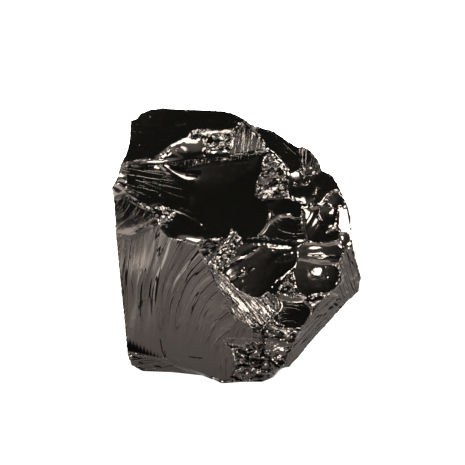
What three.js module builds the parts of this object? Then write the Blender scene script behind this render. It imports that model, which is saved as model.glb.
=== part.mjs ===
// A palm-sized piece of noble shungite: one glassy black stone, broken to shape all round,
// standing on a flat foot. Millimetres, +Z up, the front looks along -Y, and the origin is
// at the middle of the foot's level.
//
// Every face is a scar with named corners. The front corners are read off a front drawing,
// which leans back with the line of sight, and their depths settle between the ways that the
// scars around them face. The back corners are plain points in space.

import * as THREE from 'three';
import { mergeVertices } from 'three/addons/utils/BufferGeometryUtils.js';

const degrees = Math.PI / 180;

// Driving dimensions.
const drawingTilt = 20 * degrees;   // how far the front drawing leans back
const settleRounds = 2500;          // passes in which the corner depths come to rest
const ribRounds = 40;               // and in which a rib's course is found
const frontStep = 2.2;              // longest triangle side in a front scar
const backStep = 4.0;               // in a back scar
const chippedStep = 1.0;            // in a chipped one
const ribbedStep = 1.5;             // and in the fan
const frontLip = 1.0;               // way in from its rim over which a front scar finds its surface
const backLip = 5.0;                // and a back scar
const reliefMargin = 0.3;           // width of the bare strip along a rim, in chips and ribs
const ribPitch = 3.2;               // between the ribs of the fan
const ribRun = 20;                  // length over which a rib changes its height
const ribDepth = 0.3;               // how far the ribs stand above and below the scar
const ribSweep = 4.1;               // how far a rib has bent aside at its bending height
const fanFoot = 3.1;                // height of the fan's lower edge on the drawing
const edgeSoftness = 0.5;           // share of the pitch in which one rib passes to the next
const chipStray = 0.45;             // how far a chip's middle strays in its cell, of the cell
const nearestRim = 1e-6;            // nearest that a point is taken to lie to a rim

// Corners on the front drawing: [across, up], from the middle of the foot.
const frontCorners = {
  // outline, from the left shoulder round under the foot
  rim: [[-25, 39.1], [-24.6, 36.9], [-24.3, 32.7], [-24.2, 29.9], [-23.4, 20.7], [-22.6, 12.7],
    [-22, 5.7], [-21.2, 3.5], [-19, 2.3], [-13, 2.1], [-7, 1.5], [-3, 0], [1.4, 0.3], [5, 0.3],
    [7.4, 1.3], [8.6, 3], [10.4, 3.3], [12.8, 5.9], [15.8, 9.5], [18.8, 12.7], [22, 16.3],
    [24.4, 18.3], [24.9, 21.3], [24, 24.3], [23.2, 27.5], [23, 30.3], [23, 32.3], [22.2, 35.5],
    [20.6, 38.9], [19.2, 41.5], [17, 42.6], [16.4, 44.5], [14.8, 46.5], [13.2, 47.4], [12.2, 47.2],
    [9.8, 48.7], [7.4, 50.4], [5, 51.1], [2.6, 51.9], [1.4, 52.9], [-1, 54.1], [-3, 54.5],
    [-7.4, 54.7], [-13, 54.9], [-14.8, 55.1], [-17.4, 54.7], [-19.2, 54], [-20, 52.9],
    [-21.2, 52.5], [-21.4, 48.7], [-22, 46.1], [-23.2, 43.7], [-23.8, 41.3]],
  // lower edge of the combed cheek
  brow: [[-22.4, 40.7], [-22, 38.1], [-19.2, 36.5], [-17, 35.1]],
  // top of the fan
  fanTop: [[-21.4, 28.9], [-18, 30.7], [-15.8, 31.7], [-13.8, 29.3], [-10.6, 28.7], [-8, 28.1]],
  // knuckle
  knuckle: [[-14.2, 35.7], [-12.2, 34.1], [-13.8, 31.1]],
  // arc of the lens
  lens: [[-9.8, 34.9], [-7.4, 33.3], [-5.6, 30.9], [-5.8, 28.9]],
  // foot of the ledge
  ledgeFoot: [[-20.4, 43.9], [-15, 43.9], [-9.4, 44.7], [-1.6, 45.3], [2.6, 45.9]],
  // top of the ledge
  ledgeTop: [[-15.4, 45.3], [-13, 47.3], [-9.4, 49], [-9, 50.5], [-7.6, 50.9], [-4.6, 50.9],
    [-0.8, 51.1], [1.2, 51.9]],
  // shelf in the ledge
  shelf: [[-11.8, 46.3], [-7.4, 48.7], [-6, 47.1], [-1.4, 47.1], [-6, 45.1]],
  // end of the comb
  comb: [[5, 48.7], [6.2, 46.3]],
  // right and lower edge of the pane
  pane: [[5.2, 44.7], [4.8, 42.3], [3.6, 39.1], [3.4, 37.7], [5, 36.5], [6.4, 34.3], [5.4, 31.1],
    [3.8, 29.3], [1.2, 29.1], [-1.4, 31.3], [-1.8, 29.1]],
  // where cheek, pane and lens meet
  cheek: [[-9.4, 37.3]],
  // lower edge of the strip
  strip: [[-9.8, 43.1], [-4.4, 44.3], [2.6, 44.9]],
  // right edge of the crumbled ridge
  crumb: [[8, 44.9], [9.6, 42.5], [10.2, 39.7], [10.4, 37.3]],
  // left edge of the knob
  knob: [[12.6, 45.1], [12.6, 42.7]],
  // gusset
  gusset: [[13.6, 41.3], [13.8, 40.1], [15.4, 41.7], [15.2, 40.5], [15.8, 39.1], [15, 35.3],
    [12.6, 36.1]],
  // window, cup and panel
  window: [[19, 38.1], [17, 35.7], [20.2, 34.9], [19.8, 31.1], [21.2, 30.5], [18, 30.5],
    [16.2, 33.9], [20.6, 28.3], [17.6, 27.9], [13.8, 28.3], [13.2, 31.7]],
  // saddle and shell scar
  saddle: [[21.6, 26.5], [20.2, 24.3], [16.2, 24.3], [21, 20.5], [18.6, 17.9], [14.2, 17.3],
    [11.8, 18.3], [10.6, 16.9], [13.4, 16.9], [15, 15.5], [14.8, 13.1], [13, 10.7], [10.2, 10.7],
    [7.4, 13.1], [8.4, 15.5]],
  // between the coves
  cove: [[13, 34.1], [8.2, 33.9]],
  // ridge beside the fan
  ridge: [[-6.6, 24.9], [-5, 22.3], [-3.4, 18.1], [-1, 13.9], [0.8, 12.7], [3, 10.9], [3.2, 8.5],
    [1.4, 6.9], [-0.8, 7.1], [0, 3.7], [-1.2, 1.5]],
  // plate
  plate: [[0.6, 28.1], [4.2, 27.9], [11.8, 27.5], [12.4, 25.1], [10.6, 22.3], [7.6, 17.5],
    [4.2, 17.1], [0.2, 18.7], [-3, 21.9], [6.2, 18.5]],
  // nick and dark step
  nick: [[-4, 26.7], [8.2, 28.5]],
  // inner edge of the rim band
  band: [[11.8, 8.7], [9.8, 5.1]],
  // heel
  heel: [[5.4, 11.3], [5.2, 9.7], [5.4, 7.7], [6.6, 4.7], [8.6, 8.3]],
  // chips in the heel
  chip: [[3, 3.5], [1.8, 5.5]],
  // toe
  toe: [[-17.8, 5.1], [-13.8, 4.3], [-10.2, 2.7], [-2.4, 8.7], [-0.6, 11.5]],
};

// Corners behind the outline: [x, y, z] from the front point of the foot.
const backCorners = {
  // around the foot, from the right front to the left
  foot: [[8, 7.5, 0], [12, 15, 0], [5, 23.5, 0], [-8, 25, 0], [-18, 17, 0]],
  // at mid height, from right to left
  waist: [[18.5, 18, 16], [9.5, 27.5, 19], [-4.5, 29.3, 22], [-17, 26, 18], [-22, 14, 23]],
  // under the top, from right to left
  crown: [[16, 19.5, 33], [4, 25, 38.5], [-9.5, 24.5, 41.5], [-19, 17, 38]],
};

// Front scars: the corners around each, the way it faces in degrees [round to the right, up],
// the radius of its hollow (a bulge where negative), how firmly it holds its tilt, and its
// chips: [width, depth, lean, stretch, turn in degrees]. A leaning chip is steep on one side.
const frontScars = [
  { name: 'shoulder', ring: 'rim53 brow1-2 rim2-1', faces: [-20, 14] },
  {
    name: 'leftHollow',
    ring: 'rim2 brow2-4 fanTop3-1 rim4-3',
    faces: [-20, 16], dish: -20, firm: 2,
  },
  { name: 'knuckle', ring: 'brow4 knuckle1-3 fanTop3', faces: [7, 26], chips: [1.5, 0.5] },
  {
    name: 'combedCheek',
    ring: 'rim53-52 ledgeFoot1-2 cheek1 lens1 knuckle1 brow4-1',
    faces: [5, 23], dish: 80, firm: 3,
  },
  {
    name: 'lens',
    ring: 'knuckle1 lens1-4 fanTop6-3 knuckle3-2',
    faces: [2, 30], dish: 25, firm: 2,
  },
  {
    name: 'pane',
    ring: 'ledgeFoot2 strip1-3 comb2 pane1-11 lens4-1 cheek1',
    faces: [6, 29], dish: 60, firm: 4,
  },
  {
    name: 'strip',
    ring: 'ledgeFoot2-3 shelf5 ledgeFoot4-5 comb2 strip3-1',
    faces: [8, 40], firm: 16,
  },
  { name: 'brow', ring: 'ledgeFoot1 rim52-40 ledgeTop8-1', faces: [11, 29], dish: 90, firm: 4 },
  { name: 'wedge', ring: 'ledgeFoot1 ledgeTop1-2 shelf1 ledgeFoot3-2', faces: [-3, 31], firm: 10 },
  {
    name: 'slope',
    ring: 'ledgeTop2-3 shelf2-3 shelf5 ledgeFoot3 shelf1',
    faces: [-2, 45], dish: -9, firm: 6,
  },
  { name: 'splinters', ring: 'ledgeTop3-7 shelf4-2', faces: [4, 46], chips: [1.6, 0.5] },
  { name: 'shelf', ring: 'shelf3-4 ledgeFoot4 shelf5', faces: [6, 44], firm: 2 },
  {
    name: 'comb',
    ring: 'ledgeTop7-8 rim40-39 comb1-2 ledgeFoot5-4 shelf4',
    faces: [5, 44], dish: 22, firm: 2,
  },
  { name: 'brink', ring: 'rim39-35 knob1-2 crumb2-1 comb2-1', faces: [18, 34], dish: 60, firm: 2 },
  {
    name: 'crumbledRidge',
    ring: 'pane1 comb2 crumb1-4 pane5-2',
    faces: [9, 29], chips: [2.2, 0.8, 0.3],
  },
  { name: 'sheen', ring: 'crumb2 knob2 gusset1-2 crumb3', faces: [19, 23], dish: 16 },
  { name: 'knob', ring: 'rim35-31 gusset3 gusset1 knob2-1', faces: [24, 28], dish: -12 },
  { name: 'glint', ring: 'gusset1 gusset3-4 gusset2', faces: [28, 29], firm: 2 },
  { name: 'gusset', ring: 'crumb3 gusset2 gusset4-7 crumb4', faces: [19, 34], dish: 16 },
  { name: 'upperRight', ring: 'rim31-29 window1-2 gusset6-3', faces: [26, 34], dish: 30, firm: 2 },
  { name: 'fleck', ring: 'rim29-28 window3-1', faces: [34, 28], dish: 14 },
  { name: 'window', ring: 'rim28-26 window5-3', faces: [49, 25], dish: 24, firm: 4 },
  { name: 'cup', ring: 'window2-4 window6-7', faces: [25, 27], dish: 8, firm: 2 },
  {
    name: 'panel',
    ring: 'gusset6 window2 window7-6 window4-5 window8-11 cove1 gusset7',
    faces: [14, 24], dish: 26, firm: 2,
  },
  { name: 'edgeChip', ring: 'window5 rim26-25 saddle1 window8', faces: [39, 29] },
  {
    name: 'upperCove',
    ring: 'pane5 crumb4 gusset7 cove1-2 pane6',
    faces: [9, 27], dish: 30, firm: 2,
  },
  {
    name: 'lowerCove',
    ring: 'pane6 cove2-1 window11-10 nick2 pane8-7',
    faces: [10, 25], dish: 40, firm: 2,
  },
  { name: 'dark', ring: 'pane9-8 nick2 window10 plate3-1', faces: [10, 23], firm: 2 },
  { name: 'nick', ring: 'fanTop6 lens4 pane11 nick1 ridge1', faces: [14, 15] },
  {
    name: 'rubble',
    ring: 'ridge1 nick1 pane11-9 plate1 plate9 ridge2',
    faces: [2, 26], chips: [1.3, 0.6, 0.6, 1.6, 60],
  },
  { name: 'plate', ring: 'plate1-5 plate10 plate7-9', faces: [10, 21], dish: 50, firm: 4 },
  { name: 'spear', ring: 'plate5-6 plate10', faces: [3, 26], firm: 2 },
  { name: 'banded', ring: 'window10-8 saddle1-3 plate4-3', faces: [17, 19], dish: 24, firm: 3 },
  { name: 'saddle', ring: 'plate4 saddle3-2 saddle4-7 plate5', faces: [21, 24], dish: 22, firm: 6 },
  { name: 'rake', ring: 'plate5 saddle7-8 plate6', faces: [16, 22], chips: [1.2, 0.3] },
  { name: 'greyChip', ring: 'saddle6-5 saddle10-7', faces: [14, 30] },
  { name: 'shellScar', ring: 'saddle8-15 plate6', faces: [8, 27], dish: 16, firm: 2 },
  {
    name: 'rimFlat',
    ring: 'saddle1 rim25-21 saddle5-4 saddle2',
    faces: [43, 5], dish: 90, firm: 3,
  },
  {
    name: 'rimBand',
    ring: 'saddle5 rim21-17 band2-1 saddle12-10',
    faces: [42, -11], dish: 120, firm: 4,
  },
  {
    name: 'streaks',
    ring: 'plate9-7 plate10 plate6 saddle15-14 heel1 ridge6-2',
    faces: [2, 10], chips: [1.0, 0.3, 0.95, 5, -49],
  },
  {
    name: 'ledgeLow',
    ring: 'heel1 saddle14-12 band1 heel5 heel2',
    faces: [3, 5], chips: [1.8, 1.2, 0.8, 1.8, -20],
  },
  { name: 'rightFoot', ring: 'heel2 heel5 band1-2 rim17-16 heel4-3', faces: [2, 2], dish: 20 },
  { name: 'heel', ring: 'ridge8-6 heel1-3 chip2', faces: [-7, 2], chips: [2.4, 1.4, 0.6] },
  { name: 'heelMiddle', ring: 'ridge9-8 chip2-1 ridge10', faces: [-9, 2], chips: [2.4, 1.4, 0.6] },
  { name: 'heelRight', ring: 'chip2 heel3-4 chip1', faces: [1, -4], chips: [2.4, 1.4, 0.6] },
  {
    name: 'heelUnder',
    ring: 'ridge10 chip1 heel4 rim16-13 ridge11',
    faces: [-1, -1], chips: [2.4, 1.4, 0.6],
  },
  { name: 'shell', ring: 'ridge6-9 toe4-5 ridge5', faces: [-15, 1], dish: 16 },
  {
    name: 'fan',
    ring: 'rim4 fanTop1-6 ridge1-5 toe5-4 ridge9-11 rim13-11 toe3-1 rim7-5',
    faces: [-18, 0], dish: 140, firm: 6, ribbed: true,
  },
  { name: 'toe', ring: 'rim7 toe1-3 rim11-8', faces: [-12, 3], dish: 60 },
];

// Back scars, from the foot up and round.
const backScars = [
  { name: 'foot', ring: 'rim9-14 foot1-5', step: 60 },
  { name: 'underRight', ring: 'rim14-18 foot1', dish: 30 },
  { name: 'rightFlank', ring: 'rim18-21 waist1 foot2-1', dish: 45 },
  { name: 'rightCheek', ring: 'rim21-25 crown1 waist1', dish: 50 },
  { name: 'rightShoulder', ring: 'rim25-31 crown1', dish: 60 },
  { name: 'rightBrow', ring: 'rim31-36 crown2-1', dish: 50 },
  { name: 'topRight', ring: 'rim36-42 crown2', dish: 60 },
  { name: 'topBack', ring: 'rim42-46 crown3-2', dish: 45 },
  { name: 'topLeft', ring: 'rim46-49 crown4-3', dish: 200 },
  { name: 'leftBrow', ring: 'rim49-53 rim1 crown4', dish: 40 },
  { name: 'leftFlank', ring: 'rim1-5 waist5 crown4', dish: 60 },
  { name: 'leftFoot', ring: 'rim5-9 foot5 waist5', dish: 70 },
  { name: 'backLeft', ring: 'waist5 foot5-4 waist4', dish: 50 },
  { name: 'backFoot', ring: 'waist4 foot4-3 waist2-3', dish: 70 },
  { name: 'backRight', ring: 'waist2 foot3-2 waist1', dish: 40 },
  { name: 'highLeft', ring: 'crown4 waist5-4 crown3', dish: 45 },
  { name: 'highBack', ring: 'crown3 waist4-2 crown2', dish: 60 },
  { name: 'highRight', ring: 'crown2 waist2-1 crown1', dish: 35 },
];

const across = new THREE.Vector3(1, 0, 0);
const up = new THREE.Vector3(0, Math.sin(drawingTilt), Math.cos(drawingTilt));
const towards = new THREE.Vector3(0, -Math.cos(drawingTilt), Math.sin(drawingTilt));

// 'rim9-11 foot1' names rim9, rim10, rim11 and foot1.
function cornerNames(ring) {
  return ring.split(' ').flatMap((part) => {
    const [, group, first, last = first] = part.match(/^([a-zA-Z]+)(\d+)(?:-(\d+))?$/);
    const step = Number(last) < Number(first) ? -1 : 1;
    const count = Math.abs(last - first) + 1;
    return Array.from({ length: count }, (_, i) => group + (Number(first) + i * step));
  });
}

function namedPoints(groups) {
  const entries = Object.entries(groups).flatMap(([group, points]) =>
    points.map((point, i) => [`${group}${i + 1}`, point]));
  return Object.fromEntries(entries);
}

// How fast a front scar comes towards the viewer, per millimetre across and up the drawing.
function scarSlopes([round, lift]) {
  const normal = new THREE.Vector3(
    Math.sin(round * degrees) * Math.cos(lift * degrees),
    -Math.cos(round * degrees) * Math.cos(lift * degrees),
    Math.sin(lift * degrees));
  const facing = normal.dot(towards);
  return [-normal.dot(across) / facing, -normal.dot(up) / facing];
}

// How far a hollow scar rises towards its rim, from the middle of its corners.
function hollowOf(dish, corners) {
  const middle = [mean(corners.map((p) => p[0])), mean(corners.map((p) => p[1]))];
  const bend = dish ? 1 / (2 * dish) : 0;
  return ([x, y]) => bend * ((x - middle[0]) ** 2 + (y - middle[1]) ** 2);
}

// Each scar keeps its tilt and its hollow, each corner lies in the mean of its scars' surfaces,
// the firm ones counting for more, and the corners in the foot are held at the foot's level. A
// few thousand passes settle them.
function settleHeights(drawn, scars) {
  const held = new Set(cornerNames('rim9-14'));
  const height = {};
  for (const [name, [, rise]] of Object.entries(drawn)) {
    height[name] = held.has(name) ? -rise / Math.tan(drawingTilt) : 0;
  }
  const hollows = new Map(scars.map((scar) => {
    return [scar, hollowOf(scar.dish, scar.corners.map((name) => drawn[name]))];
  }));
  const surfaceAt = (scar, name) => scar.offset + scar.slopes[0] * drawn[name][0]
    + scar.slopes[1] * drawn[name][1] + hollows.get(scar)(drawn[name]);
  const around = Object.fromEntries(Object.keys(drawn).map((name) => [name, []]));
  for (const scar of scars) {
    scar.corners.forEach((name) => around[name].push(scar));
  }
  for (let round = 0; round < settleRounds; round += 1) {
    for (const scar of scars) {
      scar.offset += mean(scar.corners.map((name) => height[name] - surfaceAt(scar, name)));
    }
    for (const name of Object.keys(drawn)) {
      if (!held.has(name)) {
        const pull = around[name].reduce((sum, scar) => sum + scar.firm, 0);
        height[name] = around[name]
          .reduce((sum, scar) => sum + scar.firm * surfaceAt(scar, name), 0) / pull;
      }
    }
  }
  return height;
}

function mean(values) {
  return values.reduce((sum, value) => sum + value, 0) / values.length;
}

// The flat frame in which a back scar's surface is worked out: two axes, and its outward way.
function backFrame(points, middle) {
  const out = new THREE.Vector3();
  points.forEach((point, i) => {
    out.add(new THREE.Vector3().crossVectors(point, points[(i + 1) % points.length]));
  });
  out.normalize();
  const centre = meanPoint(points);
  if (out.dot(centre.clone().sub(middle)) < 0) {
    out.negate();
  }
  const right = new THREE.Vector3().subVectors(points[1], points[0]);
  right.addScaledVector(out, -right.dot(out)).normalize();
  return { right, top: new THREE.Vector3().crossVectors(out, right), out };
}

function meanPoint(points) {
  const sum = points.reduce((total, point) => total.add(point), new THREE.Vector3());
  return sum.divideScalar(points.length);
}

// The scar's own surface: its plane, hollowed to its radius about its middle.
function ownSurface({ dish, flat, slopes: [slopeX, slopeY] }) {
  const hollow = hollowOf(dish, flat);
  const shape = (p) => slopeX * p[0] + slopeY * p[1] + hollow(p);
  const lift = mean(flat.map((p) => p[2] - shape(p)));
  return (p) => shape(p) + lift;
}

// The edges of a scar. Between two front scars an edge runs midway between their hollows, and
// ends in its two corners. Elsewhere it is straight.
function scarSides(scar, beside, steps) {
  return scar.flat.map((a, i) => {
    const next = (i + 1) % scar.flat.length;
    const b = scar.flat[next];
    const key = edgeKey(scar.corners[i], scar.corners[next]);
    const bent = beside[key].every((other) => other.front);
    const midway = (p) => mean(beside[key].map((other) => other.surface(p)));
    const flatAt = (share) => [0, 1, 2].map((k) => a[k] + share * (b[k] - a[k]));
    const [gapA, gapB] = bent ? [a[2] - midway(a), b[2] - midway(b)] : [];
    const heightAt = (share) => (bent
      ? midway(flatAt(share)) + (1 - share) * gapA + share * gapB
      : flatAt(share)[2]);
    return { a, b, from: scar.points[i], to: scar.points[next], limit: steps[key], flatAt, heightAt };
  });
}

function nearestOnSide(p, { a, b, flatAt, heightAt }) {
  const side = [b[0] - a[0], b[1] - a[1]];
  const along = ((p[0] - a[0]) * side[0] + (p[1] - a[1]) * side[1]) / (side[0] ** 2 + side[1] ** 2);
  const share = Math.min(1, Math.max(0, along));
  const [x, y] = flatAt(share);
  return { point: [x, y, heightAt(share)], distance: Math.hypot(p[0] - x, p[1] - y) };
}

// A steady pseudo-random number between -1 and 1 for a pair of whole numbers.
function scatter(i, j, salt) {
  const wave = Math.sin(i * 127.1 + j * 311.7 + salt * 74.7) * 43758.5453;
  return 2 * (wave - Math.floor(wave)) - 1;
}

// Chips: one small scoop in each cell of a loose grid, with sharp crests where they meet.
function chipHeight([x, y], [size, depth, lean = 0, stretch = 1, turn = 0]) {
  const [c, s] = [Math.cos(turn * degrees), Math.sin(turn * degrees)];
  const along = (x * c + y * s) / (size * stretch);
  const aside = (y * c - x * s) / size;
  const [column, row] = [Math.floor(along), Math.floor(aside)];
  let lowest = Infinity;
  for (let i = column - 1; i <= column + 1; i += 1) {
    for (let j = row - 1; j <= row + 1; j += 1) {
      const dx = along - (i + 0.5 + chipStray * scatter(i, j, 1));
      const dy = aside - (j + 0.5 + chipStray * scatter(i, j, 2));
      const steep = (dy > 0 ? 2.8 : 0.9) * Math.abs(dy);
      const bowl = dx * dx + (1 - lean) * dy * dy + lean * steep;
      const tilt = scatter(i, j, 3) * dx + (1 - 0.6 * lean) * scatter(i, j, 4) * dy;
      lowest = Math.min(lowest, 1.1 * bowl + 0.8 * tilt + 0.5 * scatter(i, j, 5));
    }
  }
  return depth * lowest;
}

// 0 below 0, 1 above 1, smooth between.
function ease(value) {
  const part = Math.min(1, Math.max(0, value));
  return part * part * (3 - 2 * part);
}

// The ribs of the fan spread from its top edge and bend away to the right foot, the ones on
// the right lower down. A rib is named by where it would stand on the fan's foot.
function ribAt(x, rise) {
  let rib = x;
  for (let round = 0; round < ribRounds; round += 1) {
    const bendingHeight = Math.max(1.4 - 1.5 * rib, 2);
    const aside = ribSweep * (Math.max(rise, 0) / bendingHeight) ** 4;
    rib = 0.5 * rib + 0.5 * Math.min(1, Math.max(-40, x - aside));
  }
  return rib;
}

// Each rib has a level of its own, which changes slowly along it.
function ribHeight([x, y]) {
  const rise = y - fanFoot;
  const count = ribAt(x, rise) / ribPitch + 0.2 * Math.sin(rise * 0.3);
  const rib = Math.floor(count);
  const levelOf = (i) => {
    const at = rise / ribRun + 3 * scatter(i, 0, 51);
    const j = Math.floor(at);
    const share = ease(at - j);
    return scatter(i, j, 52) * (1 - share) + scatter(i, j + 1, 52) * share;
  };
  const share = ease((count - rib - 0.5) / edgeSoftness + 0.5);
  return ribDepth * (levelOf(rib) * (1 - share) + levelOf(rib + 1) * share);
}

// Height over the scar's frame at an inner point: its own surface, led to the rim's height
// within the lip, and its chips or ribs.
function innerHeight(scar, p) {
  let weights = 0;
  let gaps = 0;
  let closest = Infinity;
  for (const side of scar.sides) {
    const { point, distance } = nearestOnSide(p, side);
    const weight = 1 / Math.max(distance, nearestRim) ** 3;
    weights += weight;
    gaps += weight * (point[2] - scar.surface(point));
    closest = Math.min(closest, distance);
  }
  const lip = Math.exp(-((closest / (scar.front ? frontLip : backLip)) ** 2));
  const chips = scar.chips ? chipHeight(p, scar.chips) : 0;
  const ribs = scar.ribbed ? ribHeight(p) : 0;
  return scar.surface(p) + lip * gaps / weights + (chips + ribs) * Math.min(1, closest / reliefMargin);
}

function inSpace({ right, top, out }, [x, y, height]) {
  return right.clone().multiplyScalar(x).addScaledVector(top, y).addScaledVector(out, height);
}

// Halves the longest side of a triangle until every side is short enough. A side on the
// scar's rim has a limit and a height of its own, so that the scars on both sides of it agree.
function splitTriangle(scar, nodes, rims, triangles) {
  const excess = nodes.map((node, i) => node.point.distanceTo(nodes[(i + 1) % 3].point)
    / (rims[i]?.limit ?? scar.step));
  const widest = excess.indexOf(Math.max(...excess));
  if (excess[widest] <= 1) {
    triangles.push(nodes.map((node) => node.place ?? node.point));
    return;
  }
  const [a, b, c] = [0, 1, 2].map((i) => nodes[(widest + i) % 3]);
  const [rimAB, rimBC, rimCA] = [0, 1, 2].map((i) => rims[(widest + i) % 3]);
  const point = a.point.clone().add(b.point).multiplyScalar(0.5);
  const flat = [point.dot(scar.frame.right), point.dot(scar.frame.top)];
  const height = rimAB
    ? rimAB.heightAt(point.distanceTo(rimAB.from) / rimAB.to.distanceTo(rimAB.from))
    : innerHeight(scar, flat);
  const halfway = { point, place: inSpace(scar.frame, [...flat, height]) };
  splitTriangle(scar, [a, halfway, c], [rimAB, undefined, rimCA], triangles);
  splitTriangle(scar, [halfway, b, c], [rimAB, rimBC, undefined], triangles);
}

function scarTriangles(scar) {
  const outline = scar.flat.map(([x, y]) => new THREE.Vector2(x, y));
  const triangles = [];
  for (const face of THREE.ShapeUtils.triangulateShape(outline, [])) {
    const facesIn = THREE.ShapeUtils.isClockWise(face.map((index) => outline[index]));
    const [i, j, k] = facesIn ? face.toReversed() : face;
    const rims = [[i, j], [j, k], [k, i]].map(([m, n]) => {
      const apart = Math.abs(m - n);
      if (apart === 1) {
        return scar.sides[Math.min(m, n)];
      }
      return apart === outline.length - 1 ? scar.sides[apart] : undefined;
    });
    const nodes = [i, j, k].map((index) => ({ point: scar.points[index] }));
    splitTriangle(scar, nodes, rims, triangles);
  }
  return triangles;
}

function stepOf(scar) {
  if (scar.chips) {
    return chippedStep;
  }
  return scar.ribbed ? ribbedStep : frontStep;
}

function prepareFrontScars(drawn) {
  const scars = frontScars.map((scar) => ({
    ...scar,
    corners: cornerNames(scar.ring),
    slopes: scarSlopes(scar.faces),
    offset: 0,
    firm: scar.firm ?? 1,
    step: stepOf(scar),
    front: true,
    frame: { right: across, top: up, out: towards },
  }));
  const height = settleHeights(drawn, scars);
  const place = Object.fromEntries(Object.entries(drawn).map(([name, [x, y]]) => {
    const point = across.clone().multiplyScalar(x).addScaledVector(up, y);
    return [name, point.addScaledVector(towards, height[name])];
  }));
  return { scars, place };
}

function edgeKey(first, second) {
  return [first, second].sort().join(' ');
}

// All scars with their corners in space, and their surfaces over their own flat frames. An
// edge is cut as finely as the finer of the two scars that it parts.
function prepareScars() {
  const { scars: front, place } = prepareFrontScars(namedPoints(frontCorners));
  for (const [name, point] of Object.entries(namedPoints(backCorners))) {
    place[name] = new THREE.Vector3(...point);
  }
  const middle = meanPoint(Object.values(place));
  const back = backScars.map((scar) => {
    const corners = cornerNames(scar.ring);
    const frame = backFrame(corners.map((name) => place[name]), middle);
    return { step: backStep, ...scar, corners, frame, slopes: [0, 0] };
  });
  const beside = {};
  const steps = {};
  const scars = [...front, ...back];
  for (const scar of scars) {
    const { right, top, out } = scar.frame;
    scar.points = scar.corners.map((name) => place[name]);
    scar.flat = scar.points.map((point) => [point.dot(right), point.dot(top), point.dot(out)]);
    scar.surface = ownSurface(scar);
    scar.corners.forEach((name, i) => {
      const key = edgeKey(name, scar.corners[(i + 1) % scar.corners.length]);
      beside[key] = [...(beside[key] ?? []), scar];
      steps[key] = Math.min(steps[key] ?? Infinity, scar.step);
    });
  }
  for (const scar of scars) {
    scar.sides = scarSides(scar, beside, steps);
  }
  return scars;
}

function stoneGeometry() {
  const corners = prepareScars().flatMap(scarTriangles).flat();
  const loose = new THREE.BufferGeometry().setFromPoints(corners);
  const geometry = mergeVertices(loose, 1e-3);
  geometry.computeBoundingBox();
  const { min, max } = geometry.boundingBox;
  geometry.translate(-(min.x + max.x) / 2, -(min.y + max.y) / 2, -min.z);
  geometry.computeVertexNormals();
  return geometry;
}

const glassyBlack = new THREE.MeshStandardMaterial({ color: 0x17150f, roughness: 0.12, metalness: 0.1 });
const stone = new THREE.Mesh(stoneGeometry(), glassyBlack);
stone.name = 'stone';

const specimen = new THREE.Group();
specimen.add(stone);

export default specimen;
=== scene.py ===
import math
import bpy
import numpy as np
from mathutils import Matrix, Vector
from mathutils.geometry import delaunay_2d_cdt


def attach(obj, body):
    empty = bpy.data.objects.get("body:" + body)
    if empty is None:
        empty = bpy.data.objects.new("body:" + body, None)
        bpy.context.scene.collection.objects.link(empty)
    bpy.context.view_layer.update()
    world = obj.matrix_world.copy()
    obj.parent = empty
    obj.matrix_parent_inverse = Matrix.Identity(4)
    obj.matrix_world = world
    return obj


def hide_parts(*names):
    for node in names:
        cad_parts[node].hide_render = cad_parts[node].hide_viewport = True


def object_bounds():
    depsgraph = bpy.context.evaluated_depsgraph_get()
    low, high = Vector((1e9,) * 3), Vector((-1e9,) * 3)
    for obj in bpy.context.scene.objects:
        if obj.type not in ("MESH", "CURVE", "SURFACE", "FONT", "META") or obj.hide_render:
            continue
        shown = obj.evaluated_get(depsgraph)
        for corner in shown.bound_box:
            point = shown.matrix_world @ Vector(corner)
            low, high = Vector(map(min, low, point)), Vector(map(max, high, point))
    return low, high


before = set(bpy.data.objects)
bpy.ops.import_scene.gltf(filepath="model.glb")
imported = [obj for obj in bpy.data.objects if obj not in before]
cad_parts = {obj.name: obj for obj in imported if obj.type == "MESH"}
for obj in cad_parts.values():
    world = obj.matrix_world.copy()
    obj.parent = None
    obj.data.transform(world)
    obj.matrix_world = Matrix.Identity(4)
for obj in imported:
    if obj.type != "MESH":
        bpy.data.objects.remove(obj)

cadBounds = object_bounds()
print('frame loaded')

mm = 0.001
drawingTilt = math.radians(20)   # the front drawing leans back with the line of sight

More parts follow.
